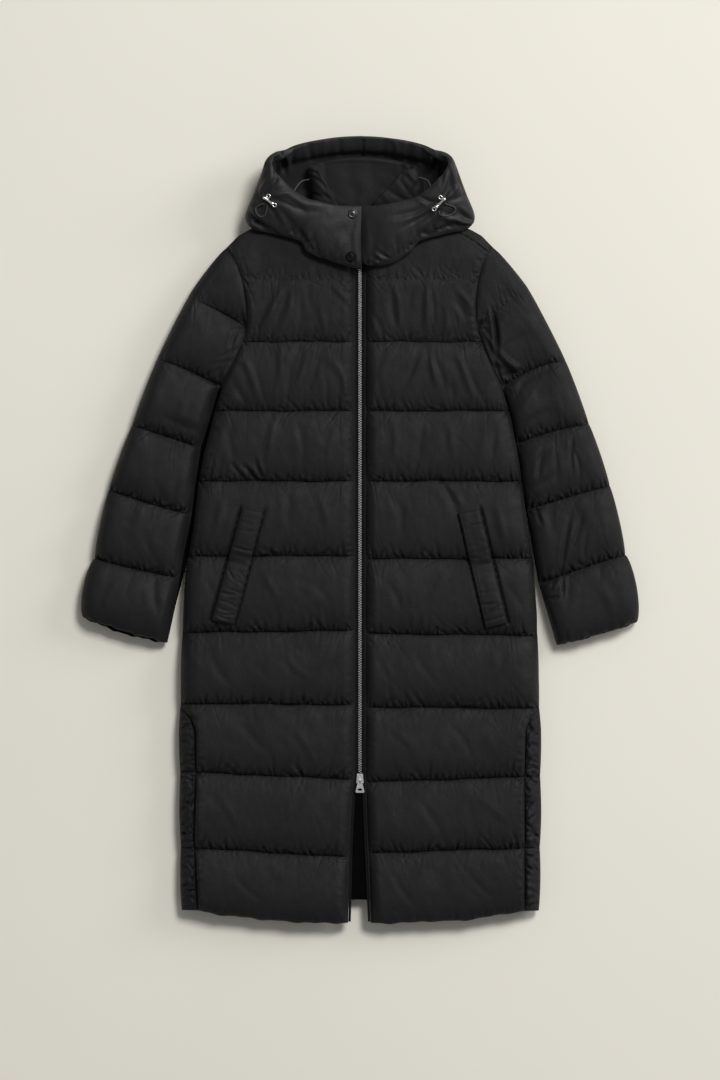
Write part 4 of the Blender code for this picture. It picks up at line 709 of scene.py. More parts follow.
class Relief:
    """A map of small heights over the ground, drawn stroke by stroke."""

    CELL = 1.2
    BANK_PLACE = 1.9        # how far off a trough's banks are, in half widths

    def __init__(self, box, lumps, random):
        self.low_x, self.low_y, high_x, high_y = box
        self.columns = int((high_x - self.low_x) / self.CELL) + 2
        self.rows = int((high_y - self.low_y) / self.CELL) + 2
        self.height = np.zeros((self.rows, self.columns))
        for wave_x, wave_y, height in lumps:
            self.swell(random, wave_x, wave_y, height)

    def swell(self, random, wave_x, wave_y, height):
        """Smooth uneven swelling, with lumps of about the given size."""
        down = int(self.rows * self.CELL / wave_y) + 4
        across = int(self.columns * self.CELL / wave_x) + 4
        coarse = random.normal(0.0, 1.0, (down, across))
        place_y = np.arange(self.rows) * self.CELL / wave_y
        place_x = np.arange(self.columns) * self.CELL / wave_x
        self.height += height * sample(coarse, place_y[:, None], place_x[None, :], eased=True)

    def span(self, middle, reach, low, count):
        """The cells of one axis within a reach of a place, and how far each lies from it."""
        first = max(int((middle - reach - low) / self.CELL), 0)
        last = max(min(int((middle + reach - low) / self.CELL) + 1, count), first)
        return slice(first, last), low + np.arange(first, last) * self.CELL - middle

    def window(self, x, y, reach):
        """The cells within a reach of a place, and how far each one lies from it."""
        rows, away_y = self.span(y, reach, self.low_y, self.rows)
        columns, away_x = self.span(x, reach, self.low_x, self.columns)
        return (rows, columns), away_x[None, :], away_y[:, None]

    def stroke(self, x, y, turn, reach, length, sag):
        """The cells near a bent stroke, how far along it they lie, in lengths, and how far off."""
        cells, dx, dy = self.window(x, y, reach)
        along = (dx * math.cos(turn) + dy * math.sin(turn)) / length
        off = -dx * math.sin(turn) + dy * math.cos(turn) - sag * along ** 2
        return cells, along, off

    def pull(self, x, y, turn, length, width, depth, bend):
        """A gather: a trough that starts at a stitch, widens and fades out."""
        reach = length * 1.1 + 3 * width
        cells, along, off = self.stroke(x, y, turn, reach, length, bend * length)
        spread = width * (0.7 + 0.7 * np.clip(along, 0.0, 1.0))
        trough = bell(off, spread)
        banks = bell(np.abs(off) - self.BANK_PLACE * spread, 0.9 * spread)
        start = np.clip(0.25 + 5.0 * along, 0.0, 1.0)
        fade = np.clip(1.0 - along, 0.0, 1.0) ** 1.2
        self.height[cells] -= depth * (trough - 0.40 * banks) * start * fade

    def folds(self, rows, random):
        """A table of soft troughs and ridges, each one bent a little and fading at both ends."""
        for row in rows:
            sag = random.normal(0.0, 0.05) * row.length
            reach = row.length * 0.75 + 3 * row.width
            cells, along, off = self.stroke(row.x, row.y, math.radians(row.turn), reach,
                                            row.length / 2, sag)
            trough = bell(off, row.width)
            bank = bell(off - self.BANK_PLACE * row.width, 1.2 * row.width)
            fade = np.exp(-np.abs(along) ** 3)
            self.height[cells] -= row.depth * (trough - 0.35 * bank) * fade

    def groove(self, points, width, depth):
        """A narrow trough all along a line of points."""
        for x, y in walk(points, width * 0.7):
            cells, dx, dy = self.window(x, y, 3 * width)
            pressed_in = -depth * np.exp(-(dx ** 2 + dy ** 2) / width ** 2)
            self.height[cells] = np.minimum(self.height[cells], pressed_in)

    def gather(self, points, style, side, random, lean=0.0, strength=1.0):
        """Pulls of uneven size along a line, to one side of it (1 left of its run, -1 right)."""
        route = np.asarray(points, float)
        reach = reach_along(route)

        def place(at):
            return [np.interp(at, reach, column) for column in route.T]

        at = random.uniform(0.0, style.spacing)
        while at < reach[-1]:
            x, y = place(at)
            (x_before, y_before), (x_after, y_after) = place(at - 2.0), place(at + 2.0)
            square = math.atan2(y_after - y_before, x_after - x_before) + side * math.pi / 2
            swing = math.radians(random.normal(lean, style.swing))
            size = random.uniform(0.45, 1.0) ** 1.5
            length = style.length * random.uniform(0.55, 1.6)
            width = style.width * random.uniform(0.75, 1.35)
            bend = random.normal(0.0, 0.12)
            self.pull(x, y, square + swing, length, width, strength * style.depth * (0.35 + size),
                      bend)
            at += style.spacing * random.uniform(0.35, 1.75)

    def fan(self, place, turn, style, random):
        """Pulls that fan out from the end of a row of stitches."""
        for number in range(style.count):
            swing = style.spread * ((number + 0.5) / style.count - 0.5) + random.normal(0.0, 6.0)
            length = style.length * random.uniform(0.6, 1.3)
            depth = style.depth * random.uniform(0.6, 1.2)
            self.pull(*place, math.radians(turn + swing), length, style.width, depth,
                      random.normal(0.0, 0.1))

    def at(self, x, y):
        """Height at places, straight between the cells."""
        column = np.clip((x - self.low_x) / self.CELL, 0, self.columns - 1.001)
        row = np.clip((y - self.low_y) / self.CELL, 0, self.rows - 1.001)
        return sample(self.height, row, column)


# ---------------------------------------------------------------- meshes
def put_mesh(name, points, faces, material, smooth=True, sharp_angle=None):
    """Make a mesh object from points in millimetres, its faces pointing out."""
    mesh = bpy.data.meshes.new(name)
    mesh.from_pydata((np.asarray(points, float) * MM).tolist(), [], faces)
    shape = bmesh.new()
    shape.from_mesh(mesh)
    bmesh.ops.recalc_face_normals(shape, faces=shape.faces)
    shape.to_mesh(mesh)
    shape.free()
    mesh.materials.append(material)
    if smooth:
        mesh.shade_smooth()
    if sharp_angle is not None:
        mesh.set_sharp_from_angle(angle=math.radians(sharp_angle))
    item = bpy.data.objects.new(name, mesh)
    bpy.context.scene.collection.objects.link(item)
    return item


def grid_faces(rows, columns, first=0):
    """Quads of a grid of points."""
    i, j = np.meshgrid(np.arange(rows - 1), np.arange(columns - 1), indexing="ij")
    corner = first + (i * columns + j).ravel()
    return np.stack([corner, corner + 1, corner + columns + 1, corner + columns], axis=1).tolist()


def sheet_faces(rows, columns):
    """Faces of two grids of points, the second one after the first, joined round their rim."""
    shift = rows * columns
    faces = grid_faces(rows, columns) + grid_faces(rows, columns, shift)
    rim = list(range(columns))
    rim += [i * columns + columns - 1 for i in range(1, rows)]
    rim += [(rows - 1) * columns + j for j in range(columns - 2, -1, -1)]
    rim += [i * columns for i in range(rows - 2, 0, -1)]
    for start, end in zip(rim, rim[1:] + rim[:1]):
        faces.append((start, end, end + shift, start + shift))
    return faces


def tube_faces(rings, count, first=0, closed=False):
    """Quads between rings of `count` points each, and back to the first ring if closed."""
    faces = []
    for ring in range(rings if closed else rings - 1):
        low, high = first + ring * count, first + (ring + 1) % rings * count
        for k in range(count):
            after = (k + 1) % count
            faces.append((low + k, low + after, high + after, high + k))
    return faces


def join_rows(upper, lower):
    """Faces between two rows of {column: point}, one of which may leave out columns."""
    if list(upper) == list(lower):
        pairs = list(zip(upper.values(), lower.values()))
        return [(a[0], b[0], b[1], a[1]) for a, b in zip(pairs, pairs[1:])]
    whole, sparse = (upper, lower) if len(upper) > len(lower) else (lower, upper)
    faces = []
    kept = list(sparse)
    for start, end in zip(kept, kept[1:]):
        middle = (start + end) // 2
        faces += [(sparse[start], whole[k], whole[k + 1]) for k in range(start, middle)]
        faces += [(sparse[end], whole[k], whole[k + 1]) for k in range(middle, end)]
        faces.append((sparse[start], whole[middle], sparse[end]))
    return faces


SIDE_COLUMNS = (0, 4, 9, 15, 23)        # points of the plain inside, from each side


def lining_points(x, y, z, curved_rows, first):
    """A panel's plain inside: rows of points, and rows of {column: number of its point}."""
    rows, columns = x.shape
    sides = sorted(set(SIDE_COLUMNS) | {columns - 1 - k for k in SIDE_COLUMNS})
    points, numbers = [], []
    for i in range(rows):
        whole = i in curved_rows or i in (0, rows - 1)
        chosen = list(range(columns)) if whole else sides
        numbers.append(dict(zip(chosen, range(first, first + len(chosen)))))
        points.append(np.stack([x[i, chosen], y[i, chosen], z[i, chosen]], axis=-1))
        first += len(chosen)
    return points, numbers


def rim_faces(inside, columns):
    """Faces between a grid and its plain inside, along both its sides and then its ends."""
    faces = []
    for i in range(len(inside) - 1):
        for j in (0, columns - 1):
            start = i * columns + j
            faces.append((start, start + columns, inside[i + 1][j], inside[i][j]))
    for j in range(columns - 1):
        for i in (0, len(inside) - 1):
            start = i * columns + j
            faces.append((start, start + 1, inside[i][j + 1], inside[i][j]))
    return faces


def put_panel(name, x, y, z, inside_z, curved_rows=(), painted_shade_start=False):
    """Close a fine grid with a rim and a lining, which has all its points in its curved rows, and
    paint that lining near-black as shade.

    Where asked, the rim along the first column gets that near-black painted shade too.
    """
    rows, columns = x.shape
    outside = np.stack([x, y, z], axis=-1).reshape(-1, 3)
    points, inside = lining_points(x, y, inside_z, curved_rows, len(outside))
    outer = grid_faces(rows, columns)
    lining = sum((join_rows(*pair) for pair in zip(inside, inside[1:])), [])
    rim = rim_faces(inside, columns)
    item = put_mesh(name, np.concatenate([outside, *points]), outer + lining + rim, SHELL,
                    sharp_angle=60)
    # The plain inside and, where asked, the first column's rim get the near-black painted shade.
    item.data.materials.append(INSIDE_PAINTED_SHADE)
    slots = [0] * len(outer) + [1] * len(lining) + [0] * len(rim)
    if painted_shade_start:
        first = len(outer) + len(lining)
        slots[first:first + 2 * (rows - 1):2] = [1] * (rows - 1)
    item.data.polygons.foreach_set("material_index", slots)
    return item


def put_wall(name, middle, thickness, relief, lining, material, upright_end=False):
    """A padded wall round a grid of points along its middle, folded on the side that faces up.

    The relief is drawn into whichever side faces up at a place, the lining's map
    into the side that faces down. Both fade out at the seam along the first column.
    """
    normal = np.cross(np.gradient(middle, axis=0), np.gradient(middle, axis=1))
    if upright_end:
        normal[-1, :, 0] = 0.0
    normal /= np.linalg.norm(normal, axis=2, keepdims=True)
    columns = middle.shape[1]
    seam_fade = ramp(np.arange(columns), 0.0, WALL_SEAM_SHARE * columns)[None, :, None]
    sheets = []
    for side in (1, -1):
        facing = side * normal
        sheet = middle + facing * thickness[..., None] / 2
        drawn = 0.0
        for level, drawing in ((WALL_FACING, relief), (-WALL_FACING, lining)):
            seen = np.clip(level * facing[..., 2:3], 0.0, 1.0)
            drawn = drawn + drawing.at(sheet[..., 0], sheet[..., 1])[..., None] * seen
        sheet = sheet + facing * drawn * seam_fade
        sheet[..., 2] = np.maximum(sheet[..., 2], 0.0)
        sheets.append(sheet.reshape(-1, 3))
    faces = sheet_faces(*middle.shape[:2])
    return put_mesh(name, np.concatenate(sheets), faces, material, sharp_angle=62)


def put_turned(name, profile, segments, material):
    """Turn a profile of (radius, height) points, which starts and ends on the axis."""
    turn = np.linspace(0.0, 2 * np.pi, segments, endpoint=False)
    points = [(0.0, 0.0, profile[0][1])]
    for radius, height in profile[1:-1]:
        points += [(radius * math.cos(a), radius * math.sin(a), height) for a in turn]
    points.append((0.0, 0.0, profile[-1][1]))
    last = len(points) - 1
    faces = tube_faces(len(profile) - 2, segments, first=1)
    for k in range(segments):
        after = (k + 1) % segments
        faces += [(0, 1 + after, 1 + k), (last, last - segments + k, last - segments + after)]
    return put_mesh(name, points, faces, material, sharp_angle=60)


def put_ring(name, radius, wire, material):
    """A ring of round wire."""
    turns, sides = 36, 12
    points = []
    for a in np.linspace(0, 2 * np.pi, turns, endpoint=False):
        for b in np.linspace(0, 2 * np.pi, sides, endpoint=False):
            reach = radius + wire * math.cos(b)
            points.append((reach * math.cos(a), reach * math.sin(a), wire * math.sin(b)))
    return put_mesh(name, points, tube_faces(turns, sides, closed=True), material)


def put_tube(name, route, radius, material, steps=6):
    """A round cord on a smooth route of points."""
    curve = bpy.data.curves.new(name, "CURVE")
    curve.dimensions = "3D"
    curve.bevel_depth = radius * MM
    curve.bevel_resolution = 4
    curve.use_fill_caps = True
    spline = curve.splines.new("POLY")
    points = smooth_grid(np.asarray(route, float), steps)
    spline.points.add(len(points) - 1)
    for target, point in zip(spline.points, points):
        target.co = (*[float(value) * MM for value in point], 1.0)
    curve.materials.append(material)
    item = bpy.data.objects.new(name, curve)
    bpy.context.scene.collection.objects.link(item)
    return item, points


def bevel(item, width):
    """Round off an item's edges."""
    modifier = item.modifiers.new("rounded", "BEVEL")
    modifier.width = width * MM
    modifier.segments = 2
    modifier.limit_method = "ANGLE"
    modifier.angle_limit = math.radians(32)
    bpy.context.view_layer.update()
    shaped = item.evaluated_get(bpy.context.evaluated_depsgraph_get())
    mesh = bpy.data.meshes.new_from_object(shaped)
    item.modifiers.clear()
    item.data = mesh
    mesh.shade_smooth()
    mesh.set_sharp_from_angle(angle=math.radians(38))


def copy_node(node, name, material):
    """A new piece in the form of a node's solid, to be made finer."""
    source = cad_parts[node]
    item = bpy.data.objects.new(name, source.data.copy())
    item.data.materials.clear()
    item.data.materials.append(material)
    item.matrix_world = source.matrix_world.copy()
    bpy.context.scene.collection.objects.link(item)
    return item


def declare(item, slot, *nodes, body="coat", fill=None):
    """Attach a piece to its body and hide the solids of the nodes that it stands for; what it is
    made of (slot) and how full it is (fill) are not used.
    """
    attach(item, body)
    if nodes:
        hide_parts(*nodes)
    return item


class Ground:
    """The upper side of some pieces, to lay things on."""

    def __init__(self, *items):
        self.trees = []
        for item in items:
            shape = bmesh.new()
            shape.from_mesh(item.data)
            self.trees.append(BVHTree.FromBMesh(shape))
            shape.free()

    def hits(self, start, direction):
        """What a ray meets on each piece: the place, its normal, a face and the distance."""
        found = [tree.ray_cast(start, direction) for tree in self.trees]
        return [hit for hit in found if hit[0] is not None]

    def hits_below(self, x, y):
        return self.hits(Vector((x * MM, y * MM, 1.0)), DOWN)

    def height(self, x, y):
        """Height of the topmost surface over a place, in millimetres."""
        return max([0.0] + [hit[0].z / MM for hit in self.hits_below(x, y)])

    def height_round(self, x, y, reach):
        """Greatest height within a reach of a place."""
        steps = (-1, -0.5, 0, 0.5, 1)
        return max(self.height(x + reach * a, y + reach * b) for a in steps for b in steps)

    def facing(self, x, y, reach):
        """Mean outward direction of the surface round a place."""
        total = Vector((0.0, 0.0, 0.0))
        for a, b in ((0, 0), (-1, 0), (1, 0), (0, -1), (0, 1)):
            for hit in self.hits_below(x + reach * a, y + reach * b):
                if hit[1].z > 0:
                    total += hit[1]
        return total.normalized()

    def room(self, points, direction):
        """Least distance from some points, in metres, to the surface in a direction."""
        return min(hit[3] for point in points for hit in self.hits(point, direction))

    def nearest(self, place):
        """The surface's nearest point to a place, and the way back from it."""
        point = Vector(place) * MM
        hits = [tree.find_nearest(point) for tree in self.trees]
        hit = min(hits, key=lambda found: found[3])[0]
        return hit / MM, (point - hit).normalized()


def put_stitches(name, ground, routes):
    """Rows of stitches that lie on the cloth along some routes."""
    points, faces = [], []
    for route in routes:
        places = walk(route, STITCH_PITCH)
        for start, end in zip(places, places[1:]):
            ahead = (end - start) / np.hypot(*(end - start))
            stop = start + ahead * STITCH_LENGTH
            low, high = ground.height(*start), ground.height(*stop)
            if min(low, high) < STITCH_LEAST_Z or abs(high - low) > STITCH_LENGTH:
                continue
            side = np.array([-ahead[1], ahead[0]]) * THREAD_WIDTH / 2
            middle = (start + stop) / 2
            level = (low + high) / 2
            first = len(points)
            points += [(*start, low), (*(middle + side), level), (*(middle - side), level),
                       (*middle, level + THREAD_WIDTH), (*middle, level - THREAD_WIDTH / 2),
                       (*stop, high)]
            for end_point in (0, 5):
                for a, b in ((1, 3), (3, 2), (2, 4), (4, 1)):
                    faces.append((first + end_point, first + a, first + b))
    declare(put_mesh(name, points, faces, THREAD, smooth=False), "shell")


# ---------------------------------------------------------------- materials
class Look:
    """A material that is put together from textures in the object's own coordinates."""

    def __init__(self, name, colour, roughness, constants):
        self.material = bpy.data.materials.new(name)
        self.material.use_nodes = True
        self.nodes = self.material.node_tree.nodes
        self.links = self.material.node_tree.links
        self.sockets = self.nodes["Principled BSDF"].inputs
        self.sockets["Base Color"].default_value = (*colour, 1.0)
        self.sockets["Roughness"].default_value = roughness
        for socket, value in constants.items():
            self.sockets[socket].default_value = value

    def texture(self, kind, scale, stretch, twist):
        """A texture whose coordinates are in metres."""
        place = self.nodes.new("ShaderNodeTexCoord")
        mapping = self.nodes.new("ShaderNodeMapping")
        mapping.inputs["Scale"].default_value = stretch
        mapping.inputs["Rotation"].default_value = (0.0, 0.0, math.radians(twist))
        texture = self.nodes.new(kind)
        texture.inputs["Scale"].default_value = scale
        self.links.new(place.outputs["Object"], mapping.inputs["Vector"])
        self.links.new(mapping.outputs["Vector"], texture.inputs["Vector"])
        return texture

    def noise(self, scale, detail=2.0, stretch=(1.0, 1.0, 1.0), twist=0.0):
        texture = self.texture("ShaderNodeTexNoise", scale, stretch, twist)
        texture.inputs["Detail"].default_value = detail
        return texture.outputs["Fac"]

    def bands(self, pitch, direction, twist=0.0):
        """Even ribs, one to each pitch (in millimetres)."""
        scale = math.pi / 10.0 / (pitch * MM)
        texture = self.texture("ShaderNodeTexWave", scale, (1.0, 1.0, 1.0), twist)
        texture.bands_direction = direction
        return texture.outputs["Fac"]

    def vary(self, socket, factor, low, high):
        """Let a socket run between two colours, by a factor."""
        run = self.nodes.new("ShaderNodeValToRGB")
        for element, place, colour in zip(run.color_ramp.elements, (0.3, 0.7), (low, high)):
            element.position = place
            element.color = (*colour, 1.0)
        self.links.new(factor, run.inputs["Fac"])
        self.links.new(run.outputs["Color"], self.sockets[socket])

    def vary_gloss(self, factor, low, high):
        self.vary("Roughness", factor, (low,) * 3, (high,) * 3)

    def bump(self, height, depth):
        """Bumps of a depth in millimetres, over those made before."""
        bump = self.nodes.new("ShaderNodeBump")
        bump.inputs["Distance"].default_value = depth * MM
        self.links.new(height, bump.inputs["Height"])
        normal = self.sockets["Normal"]
        if normal.is_linked:
            self.links.new(normal.links[0].from_socket, bump.inputs["Normal"])
        self.links.new(bump.outputs["Normal"], normal)


def nylon(name, dark, light, rough, crinkle, shine):
    """Thin, tightly woven nylon: slightly uneven in tone and gloss, finely crinkled."""
    look = Look(name, dark, rough, {"Sheen Weight": 0.03, "Sheen Roughness": 0.45,
                                    "Specular IOR Level": shine})
    look.vary("Base Color", look.noise(16.0, 3.0), dark, light)
    look.vary_gloss(look.noise(38.0), rough - 0.08, rough + 0.08)
    look.bump(look.noise(95.0, 3.0, (1.0, 0.5, 1.0), 8.0), crinkle)
    look.bump(look.noise(260.0, 2.0, (0.6, 1.0, 1.0), -12.0), crinkle * 0.28)
    look.bump(look.bands(0.5, "X"), 0.02)
    look.bump(look.bands(0.5, "Y"), 0.02)
    return look.material


def woven(name, dark, light, rough, pitch):
    """Coarse woven tape, ribbed across its length."""
    look = Look(name, dark, rough, {"Sheen Weight": 0.05, "Specular IOR Level": 0.15})
    rib = look.bands(pitch, "Y")
    look.vary("Base Color", rib, dark, light)
    look.bump(rib, 0.14)
    look.bump(look.bands(pitch * 0.9, "X"), 0.10)
    look.bump(look.noise(900.0), 0.05)
    return look.material


def braided(name, dark, light, rough, pitch):
    """Round cord of crossing strands."""
    look = Look(name, dark, rough, {"Sheen Weight": 0.1})
    strand = look.bands(pitch, "DIAGONAL")
    look.vary("Base Color", strand, dark, light)
    look.bump(strand, 0.12)
    look.bump(look.bands(pitch, "DIAGONAL", 90.0), 0.12)
    return look.material


def worn_metal(name, dark, light, rough, grain):
    """Plated metal with faint brushing and a few dull patches."""
    look = Look(name, light, rough, {"Metallic": 1.0})
    look.vary("Base Color", look.noise(220.0, 3.0), dark, light)
    look.vary_gloss(look.noise(700.0), rough - 0.06, rough + 0.10)
    look.bump(look.noise(1200.0, 2.0, (1.0, 0.12, 1.0)), grain)
    return look.material


def floor_paper():
    """Plain warm paper, very slightly uneven."""
    look = Look("floor_paper", (0.80, 0.77, 0.69), 0.92, {})
    look.vary("Base Color", look.noise(1.4, 3.0), (0.79, 0.760, 0.676), (0.81, 0.780, 0.694))
    look.bump(look.noise(500.0), 0.05)
    return look.material


SHELL = nylon("shell_nylon", (0.0098, 0.0098, 0.0100), (0.0122, 0.0122, 0.0124), 0.60, 0.75, 0.13)
# Near-black nylon for the panels' plain insides: painted shade, so the vent and the gaps beside the
# sleeves look deep and dark.
INSIDE_PAINTED_SHADE = nylon("inside_painted_shade", (0.0007, 0.0007, 0.0008), (0.0014, 0.0014, 0.0015),
               0.62, 0.30, 0.03)
# The shell nylon again, its colour painted lighter and its shine raised, as painted light for the
# light that falls on the hood.
HOOD_NYLON_PAINTED_LIGHTER = nylon("hood_nylon_painted_lighter", (0.0108, 0.0108, 0.0110), (0.0140, 0.0140, 0.0142),
                   0.52, 0.70, 0.24)
THREAD = nylon("thread", (0.005, 0.005, 0.005), (0.009, 0.009, 0.009), 0.60, 0.05, 0.2)
# The zip tape is black like the cloth, and painted darker still as the shade in the grooves beside
# the chain.
TAPE = woven("zip_tape_cloth", (0.0025, 0.0025, 0.0025), (0.006, 0.006, 0.006), 0.85, 0.9)
CORD = braided("toggle_cord_braid", (0.012, 0.012, 0.012), (0.035, 0.035, 0.035), 0.65, 1.2)
ELASTIC = braided("elastic_braid", (0.03, 0.03, 0.03), (0.07, 0.07, 0.07), 0.60, 1.0)
ZIP_METAL = worn_metal("zip_metal", (0.74, 0.74, 0.75), (0.90, 0.90, 0.90), 0.30, 0.01)
NICKEL = worn_metal("nickel", (0.76, 0.75, 0.73), (0.90, 0.89, 0.87), 0.20, 0.006)
GUNMETAL = worn_metal("dark_metal", (0.040, 0.040, 0.043), (0.085, 0.085, 0.088), 0.34, 0.01)
# The snap metal again, painted near-black as the shade that the lower snap lies in.
SNAP_METAL_PAINTED_SHADE = worn_metal("snap_metal_painted_shade", (0.006, 0.006, 0.007), (0.014, 0.014, 0.015), 0.52, 0.01)


# ---------------------------------------------------------------- body
def body_edge(side, y):
    return BODY_EDGE.at("y", side_name(side), y, round_off=7.0)


def front_edge(side, y):
    """A front's outer edge: armhole, side seam, then the seam of the side strip."""
    seam = STRIP_SEAM.at("y", side_name(side), y, round_off=3.0)
    return np.where(y < STRIP_TOP_Y, np.minimum(body_edge(side, y), seam), body_edge(side, y))


def zip_edge(side, y):
    return ZIP_EDGE.at("y", side_name(side), y, round_off=6.0)


def quilting_y(side, line, across):
    """How high a quilting line of a front runs, a little unevenly."""
    at_zip, at_side = (getattr(QUILTING, side_name(side) + end)[line] for end in ("_zip", "_side"))
    return blend(at_zip, at_side, across) + waver(across, line + 3 * side, 1.3)


def body_place(reach, down, top, swollen, line_y, inner, outer):
    """Where points of a front or of half the back lie, all of them to the right.

    `reach` runs from the middle to the side, `down` in baffles. The sides swell out in
    the baffles from the first to the last one in `swollen`.
    """
    line, share = baffle_at(down)
    below = line_y(line + 1)
    y = blend(line_y(line), below, share)
    swell = scallop(share) * (line >= swollen[0]) * (line <= swollen[1])
    x = blend(inner(y), outer(y), reach) + swell * reach ** 8
    round_off = np.minimum(0.015, 1.0 - reach)
    top_x, top_y = (top.at("across", column, reach, round_off) for column in ("x", "y"))
    side_y = np.full_like(share, QUILTING.back_side[1])
    edge_y = blend(top.y[-1], side_y, share)
    edge_x = blend(top.x[-1], outer(side_y), share)
    neck_x = blend(top_x, blend(inner(below), outer(below), reach), share)
    neck_x = neck_x + (outer(edge_y) - edge_x) * reach ** 2
    return np.where(line == 0, neck_x, x), np.where(line == 0, blend(top_y, below, share), y)


def front_place(side, across, down):
    """Where points of a front lie: `across` from zip to side, `down` in baffles."""
    x, y = body_place(
        across, down, top=FRONT_TOP, swollen=(FIRST_SCALLOP, FIRST_SCALLOP),
        line_y=lambda line: quilting_y(side, line, across),
        inner=lambda y: zip_edge(side, y), outer=lambda y: front_edge(side, y))
    to_hem = np.maximum(0.0, down - LAST_BAFFLE)
    y = y - HEM_SAG * to_hem ** 2 * 4.0 * across * (1.0 - across)
    return x, y + to_hem ** 8 * waver(across * 2.0 % 1.0, side, 1.6)


def back_place(across, down):
    """Where points of the back lie: `across` from -1 to 1, `down` in baffles."""
    reach = np.abs(across)
    x, y = body_place(
        reach, down, top=BACK_TOP, swollen=(FIRST_SCALLOP, LAST_BAFFLE),
        line_y=lambda line: blend(QUILTING.back_mid[line], QUILTING.back_side[line], reach),
        inner=lambda y: 0.0,
        outer=lambda y: np.where(across < 0, body_edge(-1, y), body_edge(1, y)))
    return np.where(across < 0, -1.0, 1.0) * x, y


def front_line(side, line, inset=0.0):
    """A quilting line of a front, from the zip to the side."""
    across = unit_run(80)
    y = quilting_y(side, line, across)
    return route_on(side, blend(zip_edge(side, y) + inset, front_edge(side, y) - inset, across), y)


def back_line(side, line):
    """A quilting line of the back, from its middle to one side."""
    across = unit_run(60)
    y = blend(QUILTING.back_mid[line], QUILTING.back_side[line], across)
    return route_on(side, across * body_edge(side, y), y)


def draw_front(relief, side, random):
    """Folds and gathers of one front."""
    for line in QUILTED:
        points = front_line(side, line)
        for style, way, grows in FRONT_GATHERS:
            strength = GATHERED[line] if grows else 1.0
            relief.gather(points, style, side * way, random, 0.0, strength)
        for end, toward in ((points[0], 0.0), (points[-1], 180.0)):
            turn = toward if side > 0 else 180.0 - toward
            for fan in FRONT_FANS:
                relief.fan(end, turn + side * fan.turn, fan, random)
    across = unit_run(60)
    x, y = front_place(side, across, np.full_like(across, LAST_BAFFLE + 1.0))
    relief.gather(route_on(side, x, y + HEM_PULLS_IN), HEM_GATHER, side, random)
    y = np.linspace(*EDGE_PULLS_Y, 400)
    relief.gather(route_on(side, zip_edge(side, y) + ZIP_PULLS_IN, y), AT_EDGE, side, random)
    outer = route_on(side, front_edge(side, y) - SIDE_PULLS_IN, y)
    relief.gather(outer[y < UNDERARM_Y], AT_EDGE, -side, random)
    relief.gather(outer[y >= UNDERARM_Y], ALONG_ARMHOLE, -side, random)
    relief.folds(on_side(FRONT_FOLDS, side), random)
    for corners, outside, width, depth in WELT_GROOVES:
        ends = [WELTS[side][corner] for corner in corners]
        relief.groove([(side * (x + outside), y) for x, y in ends], width, depth)
    if side > 0:
        for shift_x, shift_y, width, depth in SHOULDER_GROOVES:
            seam = [(x + shift_x, y + shift_y) for x, y in SHOULDER_SEAM]
            relief.groove(seam, width, depth)


def seam_low(y):
    """1 where the body's side is a free fold, 0 along the armhole."""
    return ramp(UNDERARM_Y + 25.0, y, 40.0)


def side_round(y):
    """Over what width a front's side is rounded off."""
    beside_sleeve = blend(SIDE_ROUND, SLEEVE_SIDE_ROUND, ramp(y, SLEEVE_SIDE_Y, 60.0))
    round_off = np.where(y > UNDERARM_Y, ARM_ROUND, beside_sleeve)
    return np.where(y < STRIP_TOP_Y - 20.0, STRIP_ROUND, round_off)


def make_front(side, relief):
    down, across = grid_of(steps_down(LAST_BAFFLE + 1, FRONT_ROWS), steps_across(FRONT_COLUMNS))
    x, y = front_place(side, across, down)
    line, share = baffle_at(down)
    from_zip, from_side = x - x[:, :1], x[:, -1:] - x
    taper = rounding(from_zip - ZIP_MARGIN, ZIP_ROUND) * rounding(from_side, side_round(y))
    at_stitches = blend(QUILTING.stitched[line], QUILTING.stitched[line + 1], share)
    height = puffed(share, BODY_PUFF * QUILTING.full[line], at_stitches)
    height = height + relief.at(side * x, y) * np.clip(EDGE_RELIEF + taper, 0.0, 1.0)
    edge = blend(EDGE_HEIGHT, ARM_EDGE_HEIGHT, (1.0 - seam_low(y)) * (from_side < from_zip))
    inside = UPPER_PLANE - droop(body_edge(side, y) - x) * seam_low(y)
    z = inside + blend(edge, np.maximum(height, LEAST_HEIGHT), taper)
    name = side_name(side)
    # The front's rim along the zip gets the near-black painted shade, as the shade inside the vent.
    item = put_panel("front_shell_" + name, side * x, y, z, inside,
                     end_baffles(len(x), FRONT_ROWS), painted_shade_start=True)
    return declare(item, "shell", "front_" + name, fill=0.55)


def make_fronts(random):
    """Both fronts, whose folds are drawn into one map."""
    relief = Relief(BODY_BOX, FRONT_LUMPS, random)
    for side in SIDES:
        draw_front(relief, side, random)
    return [make_front(side, relief) for side in SIDES]


def make_back(random):
    relief = Relief(BODY_BOX, BACK_LUMPS, random)
    for line in QUILTED:
        for side in SIDES:
            points = back_line(side, line)
            for way in (1, -1):
                relief.gather(points, UNDER_LAYER, way, random)
            for way, fan in zip((1, -1), BACK_FANS):
                relief.fan(points[-1], way * (90 + side * fan.turn), fan, random)
    down, across = grid_of(steps_down(LAST_BAFFLE + 1, BACK_ROWS),
                           2.0 * steps_across(BACK_COLUMNS) - 1.0)
    x, y = back_place(across, down)
    edge = np.where(across < 0, np.abs(x[:, :1]), np.abs(x[:, -1:]))
    taper = rounding(edge - np.abs(x), np.where(y > UNDERARM_Y, ARM_ROUND, SIDE_ROUND))
    depth = puffed(baffle_at(down)[1], LOWER_PLANE * UNDER_SWELL) + relief.at(x, y)
    depth = blend(EDGE_HEIGHT, np.clip(depth, LEAST_HEIGHT, LOWER_PLANE), taper)
    inside = LOWER_PLANE - droop(edge - np.abs(x)) * seam_low(y)
    item = put_panel("back_shell", x, y, np.maximum(inside - depth, 0.0), inside,
                     end_baffles(len(x), BACK_ROWS))
    declare(item, "shell", "back_panel", fill=0.45)


